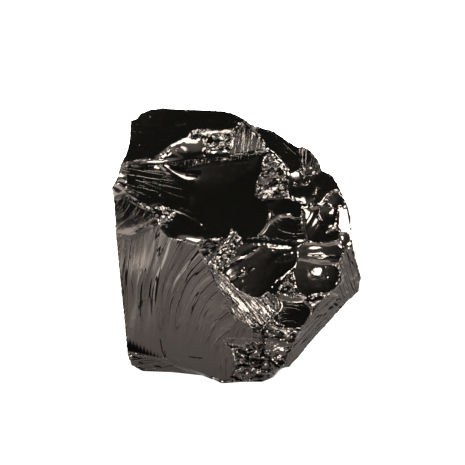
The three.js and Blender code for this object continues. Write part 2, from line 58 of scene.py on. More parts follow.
# corners on the front drawing: [across, up] in mm from the middle of the foot
frontCorners = {
    # outline, from the left shoulder round under the foot
    'rim': [[-25, 39.1], [-24.6, 36.9], [-24.3, 32.7], [-24.2, 29.9], [-23.4, 20.7], [-22.6, 12.7],
        [-22, 5.7], [-21.2, 3.5], [-19, 2.3], [-13, 2.1], [-7, 1.5], [-3, 0], [1.4, 0.3], [5, 0.3],
        [7.4, 1.3], [8.6, 3], [10.4, 3.3], [12.8, 5.9], [15.8, 9.5], [18.8, 12.7], [22, 16.3],
        [24.4, 18.3], [24.9, 21.3], [24, 24.3], [23.2, 27.5], [23, 30.3], [23, 32.3], [22.2, 35.5],
        [20.6, 38.9], [19.2, 41.5], [17, 42.6], [16.4, 44.5], [14.8, 46.5], [13.2, 47.4],
        [12.2, 47.2], [9.8, 48.7], [7.4, 50.4], [5, 51.1], [2.6, 51.9], [1.4, 52.9], [-1, 54.1],
        [-3, 54.5], [-7.4, 54.7], [-13, 54.9], [-14.8, 55.1], [-17.4, 54.7], [-19.2, 54],
        [-20, 52.9], [-21.2, 52.5], [-21.4, 48.7], [-22, 46.1], [-23.2, 43.7], [-23.8, 41.3]],
    # lower edge of the combed cheek
    'brow': [[-22.4, 40.7], [-22, 38.1], [-19.2, 36.5], [-17, 35.1]],
    # top of the fan
    'fanTop': [[-21.4, 28.9], [-18, 30.7], [-15.8, 31.7], [-13.8, 29.3], [-10.6, 28.7], [-8, 28.1]],
    # knuckle
    'knuckle': [[-14.2, 35.7], [-12.2, 34.1], [-13.8, 31.1]],
    # arc of the lens
    'lens': [[-9.8, 34.9], [-7.4, 33.3], [-5.6, 30.9], [-5.8, 28.9]],
    # foot of the ledge
    'ledgeFoot': [[-20.4, 43.9], [-15, 43.9], [-9.4, 44.7], [-1.6, 45.3], [2.6, 45.9]],
    # top of the ledge
    'ledgeTop': [[-15.4, 45.3], [-13, 47.3], [-9.4, 49], [-9, 50.5], [-7.6, 50.9], [-4.6, 50.9],
        [-0.8, 51.1], [1.2, 51.9]],
    # shelf in the ledge
    'shelf': [[-11.8, 46.3], [-7.4, 48.7], [-6, 47.1], [-1.4, 47.1], [-6, 45.1]],
    # end of the comb
    'comb': [[5, 48.7], [6.2, 46.3]],
    # right and lower edge of the pane
    'pane': [[5.2, 44.7], [4.8, 42.3], [3.6, 39.1], [3.4, 37.7], [5, 36.5], [6.4, 34.3],
        [5.4, 31.1], [3.8, 29.3], [1.2, 29.1], [-1.4, 31.3], [-1.8, 29.1]],
    # where cheek, pane and lens meet
    'cheek': [[-9.4, 37.3]],
    # lower edge of the strip
    'strip': [[-9.8, 43.1], [-4.4, 44.3], [2.6, 44.9]],
    # right edge of the crumbled ridge
    'crumb': [[8, 44.9], [9.6, 42.5], [10.2, 39.7], [10.4, 37.3]],
    # left edge of the knob
    'knob': [[12.6, 45.1], [12.6, 42.7]],
    # gusset
    'gusset': [[13.6, 41.3], [13.8, 40.1], [15.4, 41.7], [15.2, 40.5], [15.8, 39.1], [15, 35.3],
        [12.6, 36.1]],
    # window, cup and panel
    'window': [[19, 38.1], [17, 35.7], [20.2, 34.9], [19.8, 31.1], [21.2, 30.5], [18, 30.5],
        [16.2, 33.9], [20.6, 28.3], [17.6, 27.9], [13.8, 28.3], [13.2, 31.7]],
    # saddle and shell scar
    'saddle': [[21.6, 26.5], [20.2, 24.3], [16.2, 24.3], [21, 20.5], [18.6, 17.9], [14.2, 17.3],
        [11.8, 18.3], [10.6, 16.9], [13.4, 16.9], [15, 15.5], [14.8, 13.1], [13, 10.7],
        [10.2, 10.7], [7.4, 13.1], [8.4, 15.5]],
    # between the coves
    'cove': [[13, 34.1], [8.2, 33.9]],
    # ridge beside the fan
    'ridge': [[-6.6, 24.9], [-5, 22.3], [-3.4, 18.1], [-1, 13.9], [0.8, 12.7], [3, 10.9],
        [3.2, 8.5], [1.4, 6.9], [-0.8, 7.1], [0, 3.7], [-1.2, 1.5]],
    # plate
    'plate': [[0.6, 28.1], [4.2, 27.9], [11.8, 27.5], [12.4, 25.1], [10.6, 22.3], [7.6, 17.5],
        [4.2, 17.1], [0.2, 18.7], [-3, 21.9], [6.2, 18.5]],
    # nick and dark step
    'nick': [[-4, 26.7], [8.2, 28.5]],
    # inner edge of the rim band
    'band': [[11.8, 8.7], [9.8, 5.1]],
    # heel
    'heel': [[5.4, 11.3], [5.2, 9.7], [5.4, 7.7], [6.6, 4.7], [8.6, 8.3]],
    # chips in the heel
    'chip': [[3, 3.5], [1.8, 5.5]],
    # toe
    'toe': [[-17.8, 5.1], [-13.8, 4.3], [-10.2, 2.7], [-2.4, 8.7], [-0.6, 11.5]],
}

# corners behind the outline: [x, y, z] from the front point of the foot
backCorners = {
    # around the foot, from the right front to the left
    'foot': [[8, 7.5, 0], [12, 15, 0], [5, 23.5, 0], [-8, 25, 0], [-18, 17, 0]],
    # at mid height, from right to left
    'waist': [[18.5, 18, 16], [9.5, 27.5, 19], [-4.5, 29.3, 22], [-17, 26, 18], [-22, 14, 23]],
    # under the top, from right to left
    'crown': [[16, 19.5, 33], [4, 25, 38.5], [-9.5, 24.5, 41.5], [-19, 17, 38]],
}

# front scars: corners around each, the way it faces in degrees (round to the right, up), then the
# radius of its hollow, how firmly it keeps its tilt, and its chips
frontScars = {
    'shoulder': ('rim53 brow1-2 rim2-1', (-20, 14)),
    'leftHollow': ('rim2 brow2-4 fanTop3-1 rim4-3', (-20, 16), {'dish': -20, 'firm': 2}),
    'knuckle': ('brow4 knuckle1-3 fanTop3', (7, 26), {'chips': [1.5, 0.5]}),
    'combedCheek': ('rim53-52 ledgeFoot1-2 cheek1 lens1 knuckle1 brow4-1',
                    (5, 23), {'dish': 80, 'firm': 3}),
    'lens': ('knuckle1 lens1-4 fanTop6-3 knuckle3-2', (2, 30), {'dish': 25, 'firm': 2}),
    'pane': ('ledgeFoot2 strip1-3 comb2 pane1-11 lens4-1 cheek1', (6, 29), {'dish': 60, 'firm': 4}),
    'strip': ('ledgeFoot2-3 shelf5 ledgeFoot4-5 comb2 strip3-1', (8, 40), {'firm': 16}),
    'brow': ('ledgeFoot1 rim52-40 ledgeTop8-1', (11, 29), {'dish': 90, 'firm': 4}),
    'wedge': ('ledgeFoot1 ledgeTop1-2 shelf1 ledgeFoot3-2', (-3, 31), {'firm': 10}),
    'slope': ('ledgeTop2-3 shelf2-3 shelf5 ledgeFoot3 shelf1', (-2, 45), {'dish': -9, 'firm': 6}),
    'splinters': ('ledgeTop3-7 shelf4-2', (4, 46), {'chips': [1.6, 0.5]}),
    'shelf': ('shelf3-4 ledgeFoot4 shelf5', (6, 44), {'firm': 2}),
    'comb': ('ledgeTop7-8 rim40-39 comb1-2 ledgeFoot5-4 shelf4', (5, 44), {'dish': 22, 'firm': 2}),
    'brink': ('rim39-35 knob1-2 crumb2-1 comb2-1', (18, 34), {'dish': 60, 'firm': 2}),
    'crumbledRidge': ('pane1 comb2 crumb1-4 pane5-2', (9, 29), {'chips': [2.2, 0.8, 0.3]}),
    'sheen': ('crumb2 knob2 gusset1-2 crumb3', (19, 23), {'dish': 16}),
    'knob': ('rim35-31 gusset3 gusset1 knob2-1', (24, 28), {'dish': -12}),
    'glint': ('gusset1 gusset3-4 gusset2', (28, 29), {'firm': 2}),
    'gusset': ('crumb3 gusset2 gusset4-7 crumb4', (19, 34), {'dish': 16}),
    'upperRight': ('rim31-29 window1-2 gusset6-3', (26, 34), {'dish': 30, 'firm': 2}),
    'fleck': ('rim29-28 window3-1', (34, 28), {'dish': 14}),
    'window': ('rim28-26 window5-3', (49, 25), {'dish': 24, 'firm': 4}),
    'cup': ('window2-4 window6-7', (25, 27), {'dish': 8, 'firm': 2}),
    'panel': ('gusset6 window2 window7-6 window4-5 window8-11 cove1 gusset7',
              (14, 24), {'dish': 26, 'firm': 2}),
    'edgeChip': ('window5 rim26-25 saddle1 window8', (39, 29)),
    'upperCove': ('pane5 crumb4 gusset7 cove1-2 pane6', (9, 27), {'dish': 30, 'firm': 2}),
    'lowerCove': ('pane6 cove2-1 window11-10 nick2 pane8-7', (10, 25), {'dish': 40, 'firm': 2}),
    'dark': ('pane9-8 nick2 window10 plate3-1', (10, 23), {'firm': 2}),
    'nick': ('fanTop6 lens4 pane11 nick1 ridge1', (14, 15)),
    'rubble': ('ridge1 nick1 pane11-9 plate1 plate9 ridge2', (2, 26), {'chips': [1.3, 0.6, 0.6, 1.6, 60]}),
    'plate': ('plate1-5 plate10 plate7-9', (10, 21), {'dish': 50, 'firm': 4}),
    'spear': ('plate5-6 plate10', (3, 26), {'firm': 2}),
    'banded': ('window10-8 saddle1-3 plate4-3', (17, 19), {'dish': 24, 'firm': 3}),
    'saddle': ('plate4 saddle3-2 saddle4-7 plate5', (21, 24), {'dish': 22, 'firm': 6}),
    'rake': ('plate5 saddle7-8 plate6', (16, 22), {'chips': [1.2, 0.3]}),
    'greyChip': ('saddle6-5 saddle10-7', (14, 30)),
    'shellScar': ('saddle8-15 plate6', (8, 27), {'dish': 16, 'firm': 2}),
    'rimFlat': ('saddle1 rim25-21 saddle5-4 saddle2', (43, 5), {'dish': 90, 'firm': 3}),
    'rimBand': ('saddle5 rim21-17 band2-1 saddle12-10', (42, -11), {'dish': 120, 'firm': 4}),
    'streaks': ('plate9-7 plate10 plate6 saddle15-14 heel1 ridge6-2',
                (2, 10), {'chips': [1.0, 0.3, 0.95, 5, -49]}),
    'ledgeLow': ('heel1 saddle14-12 band1 heel5 heel2', (3, 5), {'chips': [1.8, 1.2, 0.8, 1.8, -20]}),
    'rightFoot': ('heel2 heel5 band1-2 rim17-16 heel4-3', (2, 2), {'dish': 20}),
    'heel': ('ridge8-6 heel1-3 chip2', (-7, 2), {'chips': [2.4, 1.4, 0.6]}),
    'heelMiddle': ('ridge9-8 chip2-1 ridge10', (-9, 2), {'chips': [2.4, 1.4, 0.6]}),
    'heelRight': ('chip2 heel3-4 chip1', (1, -4), {'chips': [2.4, 1.4, 0.6]}),
    'heelUnder': ('ridge10 chip1 heel4 rim16-13 ridge11', (-1, -1), {'chips': [2.4, 1.4, 0.6]}),
    'shell': ('ridge6-9 toe4-5 ridge5', (-15, 1), {'dish': 16}),
    'fan': ('rim4 fanTop1-6 ridge1-5 toe5-4 ridge9-11 rim13-11 toe3-1 rim7-5',
            (-18, 0), {'dish': 140, 'firm': 6}),
    'toe': ('rim7 toe1-3 rim11-8', (-12, 3), {'dish': 60}),
}

# back scars: corners around each and the radius of its hollow
backScars = {
    'foot': ('rim9-14 foot1-5', 0),
    'underRight': ('rim14-18 foot1', 30),
    'rightFlank': ('rim18-21 waist1 foot2-1', 45),
    'rightCheek': ('rim21-25 crown1 waist1', 50),
    'rightShoulder': ('rim25-31 crown1', 60),
    'rightBrow': ('rim31-36 crown2-1', 50),
    'topRight': ('rim36-42 crown2', 60),
    'topBack': ('rim42-46 crown3-2', 45),
    'topLeft': ('rim46-49 crown4-3', 200),
    'leftBrow': ('rim49-53 rim1 crown4', 40),
    'leftFlank': ('rim1-5 waist5 crown4', 60),
    'leftFoot': ('rim5-9 foot5 waist5', 70),
    'backLeft': ('waist5 foot5-4 waist4', 50),
    'backFoot': ('waist4 foot4-3 waist2-3', 70),
    'backRight': ('waist2 foot3-2 waist1', 40),
    'highLeft': ('crown4 waist5-4 crown3', 45),
    'highBack': ('crown3 waist4-2 crown2', 60),
    'highRight': ('crown2 waist2-1 crown1', 35),
}

heelMarks = [('flakes', 1.3, 0.42, 0.5, 1.5, 35, 5), ('flakes', 0.5, 0.07, 0.5, 1.3, 70)]

# relief on the front scars, over and above their hollows; drawing millimetres, turns in degrees
scarMarks = {
    'shoulder': [('flakes', 2.6, 0.12), ('specks', 1.3, 0.05)],
    'leftHollow': [('rings', (-27.0, 38.5), 1.5, 9, 0.10, 0.9), ('lines', -60, 0.5, 3, 0.02, 0.6)],
    'knuckle': [('flakes', 0.9, 0.2, 0.5, 1.6, 60)],
    'combedCheek': [('rays', (-34, 44.5), 2.0, 7, 0.006, 0.3), ('specks', 1.5, 0.03)],
    'lens': [('rings', (-16, 40), 2.2, 8, 0.03, 1.0)],
    'pane': [('rings', (-6, 47), 4.0, 20, 0.03, 1.0)],
    'strip': [('lines', 88, 0.8, 2, 0.03, 0.4)],
    'brow': [('specks', 1.9, 0.09), ('flakes', 5, 0.06)],
    'wedge': [('lines', 22, 0.9, 4, 0.05, 0.9)],
    'slope': [('lines', 14, 1.6, 5, 0.02, 0.9)],
    'splinters': [('flakes', 0.6, 0.18)],
    'shelf': [('lines', 0, 0.8, 2, 0.03, 0.8)],
    'comb': [('lines', 82, 0.6, 4, 0.05, 0.7), ('lines', 0, 1.2, 2, 0.03, 1.0)],
    'brink': [('lines', -40, 1.6, 8, 0.02, 0.8), ('specks', 1.8, 0.04)],
    'crumbledRidge': [('flakes', 0.9, 0.2, 0.4, 1.5, 20)],
    'sheen': [('lines', -70, 0.9, 5, 0.02, 1.0)],
    'knob': [('rays', (12, 33), 7, 3, 0.12, 0.7), ('flakes', 1.2, 0.07)],
    'glint': [('flakes', 1.0, 0.1)],
    'gusset': [('flakes', 3.0, 0.14)],
    'upperRight': [('flakes', 3.2, 0.15), ('specks', 1.4, 0.05)],
    'fleck': [('flakes', 1.7, 0.13)],
    'window': [('flakes', 3.0, 0.04)],
    'cup': [('rings', (19, 36), 1.1, 6, 0.05, 0.9)],
    'panel': [('lines', 65, 0.8, 4, 0.04, 0.6)],
    'edgeChip': [('flakes', 1.4, 0.12)],
    'upperCove': [('lines', -35, 1.6, 6, 0.015, 1.0)],
    'lowerCove': [('rings', (12, 40), 1.8, 8, 0.01, 1.0)],
    'dark': [('lines', 0, 0.6, 4, 0.05, 0.5)],
    'nick': [('flakes', 1.4, 0.35, 1.0), ('flakes', 0.6, 0.12, 1.0)],
    'rubble': [('flakes', 0.7, 0.26, 0.5, 1.4, 30)],
    'plate': [('specks', 1.0, 0.035), ('lines', 28, 1.5, 6, 0.025, 1.0)],
    'spear': [('lines', 60, 0.5, 4, 0.03, 0.7)],
    'banded': [('lines', -1, 0.9, 9, 0.1, 0.5)],
    'saddle': [('flakes', 2.8, 0.07), ('rings', (13, 17), 1.3, 5, 0.015, 0.9),
               ('lines', -8, 1.0, 6, 0.018, 1.0), ('specks', 1.2, 0.04)],
    'rake': [('rays', (10, 22), 9, 3, 0.25, 0.6), ('flakes', 0.6, 0.1, 1.0)],
    'greyChip': [('flakes', 1.5, 0.2)],
    'shellScar': [('rings', (10.0, 9.0), 0.8, 8, 0.0045, 0.8)],
    'rimFlat': [('lines', -72, 1.1, 6, 0.05, 1.0), ('flakes', 1.6, 0.07), ('specks', 0.9, 0.1)],
    'rimBand': [('lines', 45, 0.6, 9, 0.045, 0.7), ('specks', 1.1, 0.1)],
    'streaks': [('flakes', 0.5, 0.08, 0, 4, -49, 7)],
    'ledgeLow': [('flakes', 0.7, 0.2, 0.4, 1, 0, 5)],
    'rightFoot': [('flakes', 2.2, 0.45, 1.0), ('flakes', 0.8, 0.12, 1.0)],
    **dict.fromkeys(['heel', 'heelMiddle', 'heelRight', 'heelUnder'], heelMarks),
    'shell': [('rings', (4, 9), 0.9, 6, 0.05, 0.9)],
    'toe': [('lines', 4, 1.0, 6, 0.06, 1.0), ('flakes', 2.0, 0.12)],
}

# single crests and lines: points on the drawing, half width and height
strokes = {
    'fan': [([(-20.6, 21.5), (-19.6, 22.0)], 3.2, 0.5)],
    'brow': [([(-8.4, 53.5), (-3.4, 53.6), (0.6, 52.9)], 0.22, 0.08),
             ([(-7.4, 52.7), (-2.4, 52.8), (0.8, 52.2)], 0.22, 0.1),
             ([(-9.4, 51.9), (-4.4, 52.0), (-0.4, 51.6)], 0.22, 0.07),
             ([(-12.4, 51.9), (-10.6, 52.0)], 0.25, 0.1)],
    'combedCheek': [([(-14.6, 43.2), (-11.6, 41.1), (-8.7, 39.2)], 0.16, 0.06)],
    'pane': [([(-10.0, 42.7), (-6.4, 43.4), (-1.0, 44.1), (2.2, 44.5)], 0.18, 0.03)],
    'strip': [([(-8.3, 45.1), (-8.2, 44.1)], 0.15, 0.06), ([(-5.9, 45.2), (-5.7, 43.9)], 0.15, 0.08),
              ([(-4.2, 45.3), (-4.1, 44.5)], 0.15, 0.05), ([(-2.4, 45.4), (-2.2, 44.6)], 0.15, 0.07),
              ([(-7.2, 45.0), (-7.1, 44.4)], 0.15, 0.04)],
    'lens': [([(-13.2, 35.0), (-10.4, 34.0), (-8.2, 32.7), (-7.2, 31.6)], 0.2, 0.11),
             ([(-7.2, 31.6), (-6.6, 30.7), (-6.4, 29.6)], 0.2, 0.04)],
    'lowerCove': [([(3.6, 29.4), (5, 31.1), (6.6, 32.5), (8.2, 33.4), (10.5, 33.7)], 0.22, 0.2)],
    'shoulder': [([(-24, 39.8), (-22.6, 39.2)], 0.3, 0.25)],
    'leftHollow': [([(-21.8, 37.0), (-19.4, 35.6), (-17.6, 34.9)], 0.25, 0.14)],
}

# ways that the small flats face, each towards one of the lights: round to the right, up
toFront = (4, 13)
toPlate = (4, 14)
toFan = (3, 13)
toRight = (20, 20)
toLeft = (-28, 40)
toTop = (0, 62)
toBrow = (0, 60)

# small flats let into a scar: place on the drawing, half length and width, turn, the way it faces
glints = {
    'plate': [(1.0, 25.2, 2.2, 0.4, 30, toPlate), (3.4, 26.7, 1.0, 0.25, 25, toPlate),
              (0.2, 21.4, 1.4, 0.2, 25, toPlate), (2.4, 22.6, 0.9, 0.2, 25, toPlate),
              (7.6, 19.8, 1.4, 0.4, 48, toPlate), (9.2, 21.8, 0.9, 0.3, 52, toPlate)],
    'banded': [(15.3, 27.2, 1.6, 0.5, -3, toRight), (17.5, 25.5, 2.2, 0.14, -1, toRight)],
    'saddle': [(15.0, 22.3, 0.35, 0.2, -8, toRight), (15.3, 23.6, 0.7, 0.12, -12, toRight),
               (16.6, 22.6, 0.4, 0.1, -10, toRight), (17.8, 23.2, 0.3, 0.12, 30, toRight)],
    'leftHollow': [(-18.6, 31.2, 1.7, 0.25, 35, toLeft), (-20.4, 37.1, 0.5, 0.3, 0, toLeft),
                   (-17.2, 35.6, 1.0, 0.3, -30, toLeft)],
    'shoulder': [(-24.6, 39.1, 0.25, 0.15, 20, toLeft), (-23.2, 39.2, 0.25, 0.15, 0, toLeft)],
    'shelf': [(-4.6, 46.3, 0.8, 0.5, 0, toTop), (-2.4, 46.4, 0.7, 0.45, 0, toTop)],
    'wedge': [(-14.6, 45.6, 0.8, 0.45, 50, toTop)],
    'splinters': [(-2.2, 50.4, 1.3, 0.7, 0, toTop), (-7.0, 50.0, 0.5, 0.3, 0, toTop)],
    'streaks': [(1.4, 15.4, 1.9, 0.7, -38, toFront), (4.2, 13.0, 1.8, 0.3, -52, toFront),
                (-1.8, 18.9, 2.2, 0.25, -48, toFront), (3.2, 15.6, 1.2, 0.25, -60, toFront),
                (1.2, 17.6, 1.4, 0.22, -45, toFront), (2.6, 11.8, 1.6, 0.25, -50, toFront),
                (0.2, 14.0, 1.7, 0.22, -52, toFront), (-0.6, 16.6, 1.2, 0.3, -40, toFront),
                (5.4, 14.6, 1.2, 0.25, -75, toFront), (-3.4, 20.0, 1.0, 0.2, -55, toFront)],
    'ledgeLow': [(7.4, 11.2, 1.6, 0.4, -22, toFront), (9.6, 10.2, 0.9, 0.35, -30, toFront),
                 (6.2, 12.0, 0.7, 0.3, -10, toFront)],
    'heel': [(3.0, 9.6, 0.8, 0.35, 60, toFront), (2.6, 5.7, 0.6, 0.8, 0, toFront),
             (0.6, 6.4, 0.9, 0.2, -35, toFront)],
    'heelMiddle': [(1.6, 5.4, 0.9, 0.35, -30, toFront)],
    'heelUnder': [(2.0, 2.0, 0.45, 0.8, 0, toFront), (5.6, 4.2, 0.5, 1.1, 15, toFront),
                  (-0.6, 2.6, 0.7, 0.3, -20, toFront)],
    'rightFoot': [(7.8, 6.4, 1.0, 0.2, 30, toFront), (6.2, 4.2, 0.3, 0.9, 20, toFront)],
    'lowerCove': [(4.6, 29.8, 0.5, 0.2, 50, toRight), (5.8, 31.6, 1.2, 0.16, 42, toRight)],
    'window': [(22.5, 33.4, 2.2, 0.32, 97, (27, 28))],
    'crumbledRidge': [(6.0, 37.6, 1.2, 0.5, 10, toLeft), (5.6, 43.8, 0.9, 0.4, 0, toBrow),
                      (5.7, 41.3, 0.6, 0.2, 0, toBrow)],
    'fan': [(-20.3, 5.75, 0.6, 0.36, -8, toFan), (-19.1, 5.5, 0.6, 0.36, -12, toFan),
            (-18.0, 5.1, 0.6, 0.34, -18, toFan), (-16.6, 4.85, 0.3, 0.25, 0, toFan),
            (-14.6, 4.9, 0.6, 0.25, 0, toFan), (-12.2, 4.8, 0.4, 0.2, 0, toFan)],
    'knuckle': [(-15.6, 32.6, 0.35, 0.35, 0, toLeft), (-15.0, 35.0, 1.0, 0.35, -35, toLeft),
                (-13.6, 33.2, 0.3, 0.7, 0, toLeft)],
}

# fine grain in the finish: kind, where it runs, spacing in mm or degrees, strength; a positive strength
# also paints its lines black as painted shade in their steps, a negative one leaves bumped lines only
scarGrain = {
    'fan': ('fan', 1.0, 1.0),
    'combedCheek': ('rays', (-34, 44.5), 3.5, -0.22),
    'strip': ('lines', 88, 1.2, -0.7),
    'comb': ('lines', 82, 1.2, -1.0),
    'leftHollow': ('rings', (-27.0, 38.5), 1.3, 0.6),
    'shellScar': ('rings', (10.0, 9.0), 1.0, -0.17),
    'rimBand': ('lines', 45, 0.8, 1.6),
    'rimFlat': ('lines', -72, 1.0, 1.2),
    'toe': ('lines', 4, 1.2, 0.7),
    'brow': ('lines', -4, 1.6, -0.12),
    'brink': ('lines', -40, 1.4, -0.1),
    'streaks': ('lines', -47, 0.8, -0.9),
    'shell': ('rings', (4, 9), 1.0, 0.6),
    'lowerCove': ('rings', (12, 40), 1.8, -0.3),
    'knob': ('rays', (12, 33), 5, -0.8),
}

# scars whose gloss is gone, 0 to 1: partly a dull break, partly painted shade; on the dark step it is
# wholly painted shade under its overhang
scarDullAndShade = {'dark': 0.85, 'nick': 0.5, 'slope': 0.35, 'splinters': 0.35, 'crumbledRidge': 0.25,
            'streaks': 0.12, 'leftHollow': 0.2, 'brink': 0.1}

# thin black cracks and pits painted as shade, and on the pane two wide painted dark marks over a
# reflection: points on the drawing, half width
crackShade = {
    'fan': [([(-15.4, 8.7), (-15.0, 6.4), (-14.5, 5.2)], 0.12), ([(-14.5, 6.4), (-14.3, 5.3)], 0.1),
            ([(-24.0, 21.2), (-22.9, 20.9)], 0.1), ([(-9.6, 5.3), (-7.0, 5.0)], 0.12),
            ([(-6.9, 25.9), (-5.4, 23.0), (-3.9, 19.4)], 0.16)],
    'rimBand': [([(18.4, 14.9), (19.1, 15.3)], 0.22), ([(19.6, 15.9), (20.0, 15.7)], 0.28),
                ([(20.7, 15.2), (20.9, 15.0)], 0.22), ([(21.6, 16.4), (21.8, 16.3)], 0.15),
                ([(17.4, 13.6), (17.8, 14.0)], 0.14), ([(19.9, 16.7), (20.3, 16.9)], 0.16)],
    'streaks': [([(-3.4, 17.6), (-0.8, 13.7)], 0.2), ([(-1.6, 17.9), (1.6, 13.2)], 0.1),
                ([(0.4, 17.6), (3.4, 13.4)], 0.12)],
    'pane': [([(-13.0, 43.2), (-11.6, 42.6), (-9.3, 42.2), (-7.6, 42.1)], 0.62),
             ([(-10.1, 41.6), (-8.0, 41.3)], 0.34)],
    'toe': [([(-16.5, 3.4), (-15.4, 3.2)], 0.18), ([(-19.6, 4.1), (-18.9, 3.9)], 0.15)],
    'heel': [([(1.0, 8.9), (2.2, 7.7)], 0.25), ([(3.2, 7.6), (4.1, 6.2)], 0.2)],
}

# scars that are crumbled or finely frosted, 0 to 1
scarGrit = {'crumbledRidge': 0.8, 'rubble': 1, 'knuckle': 0.5, 'splinters': 0.6, 'heel': 0.7,
            'heelMiddle': 0.7, 'heelRight': 0.6, 'heelUnder': 0.6, 'ledgeLow': 0.5, 'nick': 0.7,
            'rake': 0.7, 'streaks': 0.2, 'greyChip': 0.2, 'rimFlat': 0.4, 'rimBand': 0.4,
            'rightFoot': 0.15, 'comb': 0.15, 'shelf': 0.3, 'toe': 0.25}


stoneLook = {
    'settleRounds': 2500,
    'lip': 0.3,              # mm over which a front scar finds its own surface
    'backLip': 5.0,          # and a back scar
    'frontStep': 0.24,       # longest mesh side on the front, mm
    'fineStep': 0.16,        # in the finely lined scars
    'backStep': 0.5,
    'footStep': 2.0,
    'ragged': 0.11,          # how far edges wander, mm
    'winding': 0.5,          # and the edges behind over a longer stretch, mm
    'edgeChips': 0.05,       # how deep the edges are bruised, mm
    'bruise': 0.4,           # and how far in, mm
    'gritRim': 0.35,         # width of the gritty rims, mm
    'calmGrit': 0.25,        # share of that grit on calm scars
    'backGrit': 0.3,         # and behind
    'merge': 2e-6,           # points nearer than this are one, m
    'sharpFrom': 26,         # edges are shaded sharp from this angle, degrees
}

# the fluted scar, on the drawing
fanLook = {
    'foot': 3.1,             # height of its lower edge
    'courseRounds': 40,      # in which a hackle's course is found
    'sweep': 4.08,           # how far a hackle has bent aside at its bending height
    'bend': (1.4, 1.5, 2),   # bending height at the middle, its growth to the left, and the least it is
    'ribs': (3.2, 20, 0.3),  # spacing, run and depth
    'fineRibs': (1.6, 16, 0.2),
    'hackles': (0.8, 9, 0.04),
}

# broad scoops and steps behind, and the small chips and specks on them
broadMarks = [('flakes', 9, 0.8, 0, 1, 0, 5), ('rings', (-9, 4), 2.4, 14, 0.12, 0.8)]
chipMarks = ('flakes', 1.9, 0.12, 0.3, 1.6, 25, 6)
speckMarks = ('specks', 2.6, 0.1)

# scars that are glassy and keep clean rims
calmScars = {'pane', 'strip', 'lens', 'combedCheek', 'shellScar', 'fan', 'brow', 'upperCove', 'lowerCove',
             'plate', 'saddle', 'banded', 'window', 'wedge', 'slope'}
# softly joined scars, and over how many mm
softLips = {'pane': 8.0, 'lens': 0.7, 'combedCheek': 0.7, 'wedge': 0.7, 'slope': 0.7, 'strip': 0.7}
# scars with the finest mesh
fineScars = {'fan', 'combedCheek', 'comb', 'strip', 'streaks', 'toe', 'lens'}


def cornerNames(ring):
    names = []
    for part in ring.split():
        group = part.rstrip('0123456789-')
        ends = [int(n) for n in part[len(group):].split('-')]
        first, last = ends[0], ends[-1]
        step = -1 if last < first else 1
        names += [group + str(n) for n in range(first, last + step, step)]
    return names


def namedPoints(groups):
    return {group + str(i + 1): p for group, points in groups.items() for i, p in enumerate(points)}


acrossDir = np.array([1.0, 0.0, 0.0])
upDir = np.array([0.0, math.sin(drawingTilt), math.cos(drawingTilt)])
towardsDir = np.array([0.0, -math.cos(drawingTilt), math.sin(drawingTilt)])


# a way from how far it goes round to the right and up, in degrees
def wayOf(turn, lift):
    turn, lift = math.radians(turn), math.radians(lift)
    level = math.cos(lift)
    return np.array([math.sin(turn) * level, -math.cos(turn) * level, math.sin(lift)])


def scarSlopes(faces):
    normal = wayOf(*faces)
    facing = normal @ towardsDir
    return -(normal @ acrossDir) / facing, -(normal @ upDir) / facing


# how far a hollow scar rises towards its rim
def hollowOf(scar, corners):
    middle = corners[:, :2].mean(axis=0)
    bend = 1 / (2 * scar['dish']) if scar.get('dish') else 0
    return lambda p: bend * ((p[:, :2] - middle) ** 2).sum(axis=1)


# each scar keeps its tilt, each corner lies in the mean of its scars' surfaces
def settleHeights(drawn, scars):
    held = set(cornerNames('rim9-14'))
    names = list(drawn)
    row = {name: i for i, name in enumerate(names)}
    flat = np.array([drawn[name] for name in names])
    rings = [np.array([row[name] for name in scar['corners']]) for scar in scars]
    slopes = np.array([scar['slopes'] for scar in scars])
    firm = np.array([scar.get('firm', 1) for scar in scars])
    hollow = [hollowOf(scar, flat[ring])(flat[ring]) for scar, ring in zip(scars, rings)]
    isHeld = np.array([name in held for name in names])
    height = np.where(isHeld, -flat[:, 1] / math.tan(drawingTilt), 0.0)
    scarOf = np.concatenate([np.full(len(ring), s) for s, ring in enumerate(rings)])
    cornerOf = np.concatenate(rings)
    tilted = (slopes[scarOf] * flat[cornerOf]).sum(axis=1) + np.concatenate(hollow)
    pull = firm[scarOf]
    ringSize = np.bincount(scarOf)
    around = np.bincount(cornerOf, pull)
    for _ in range(stoneLook['settleRounds']):
        offset = np.bincount(scarOf, height[cornerOf] - tilted) / ringSize
        settled = np.bincount(cornerOf, pull * (tilted + offset[scarOf])) / around
        height = np.where(isHeld, height, settled)
    return dict(zip(names, height))


def hashed(i, j, salt):
    wave = np.sin(i * 127.1 + j * 311.7 + salt * 74.7) * 43758.5453
    return 2 * (wave - np.floor(wave)) - 1


def turned(p, turn):
    c, s = math.cos(math.radians(turn)), math.sin(math.radians(turn))
    return p[:, 0] * c + p[:, 1] * s, p[:, 1] * c - p[:, 0] * s


# each cell round a place, with how far the place is from a point in it
def cellsAround(x, y, loose, salt):
    column, row = np.floor(x), np.floor(y)
    for di in (-1, 0, 1):
        for dj in (-1, 0, 1):
            i, j = column + di, row + dj
            dx = x - (i + 0.5 + loose * hashed(i, j, salt))
            dy = y - (j + 0.5 + loose * hashed(i, j, salt + 1))
            yield i, j, dx, dy


# small scoops with sharp crests between them
def flakes(p, size, depth, lean=0, stretch=1, turn=0, salt=0):
    along, beside = turned(p, turn)
    lowest = np.full(len(p), 9.0)
    for i, j, dx, dy in cellsAround(along / (size * stretch), beside / size, 0.45, salt + 1):
        bowl = dx * dx + (1 - lean) * dy * dy + lean * np.where(dy > 0, 2.8, 0.9) * abs(dy)
        tilt = hashed(i, j, salt + 3) * dx + (1 - 0.6 * lean) * hashed(i, j, salt + 4) * dy
        scoop = 1.1 * bowl + 0.8 * tilt + 0.5 * hashed(i, j, salt + 5)
        lowest = np.minimum(lowest, scoop)
    return depth * lowest


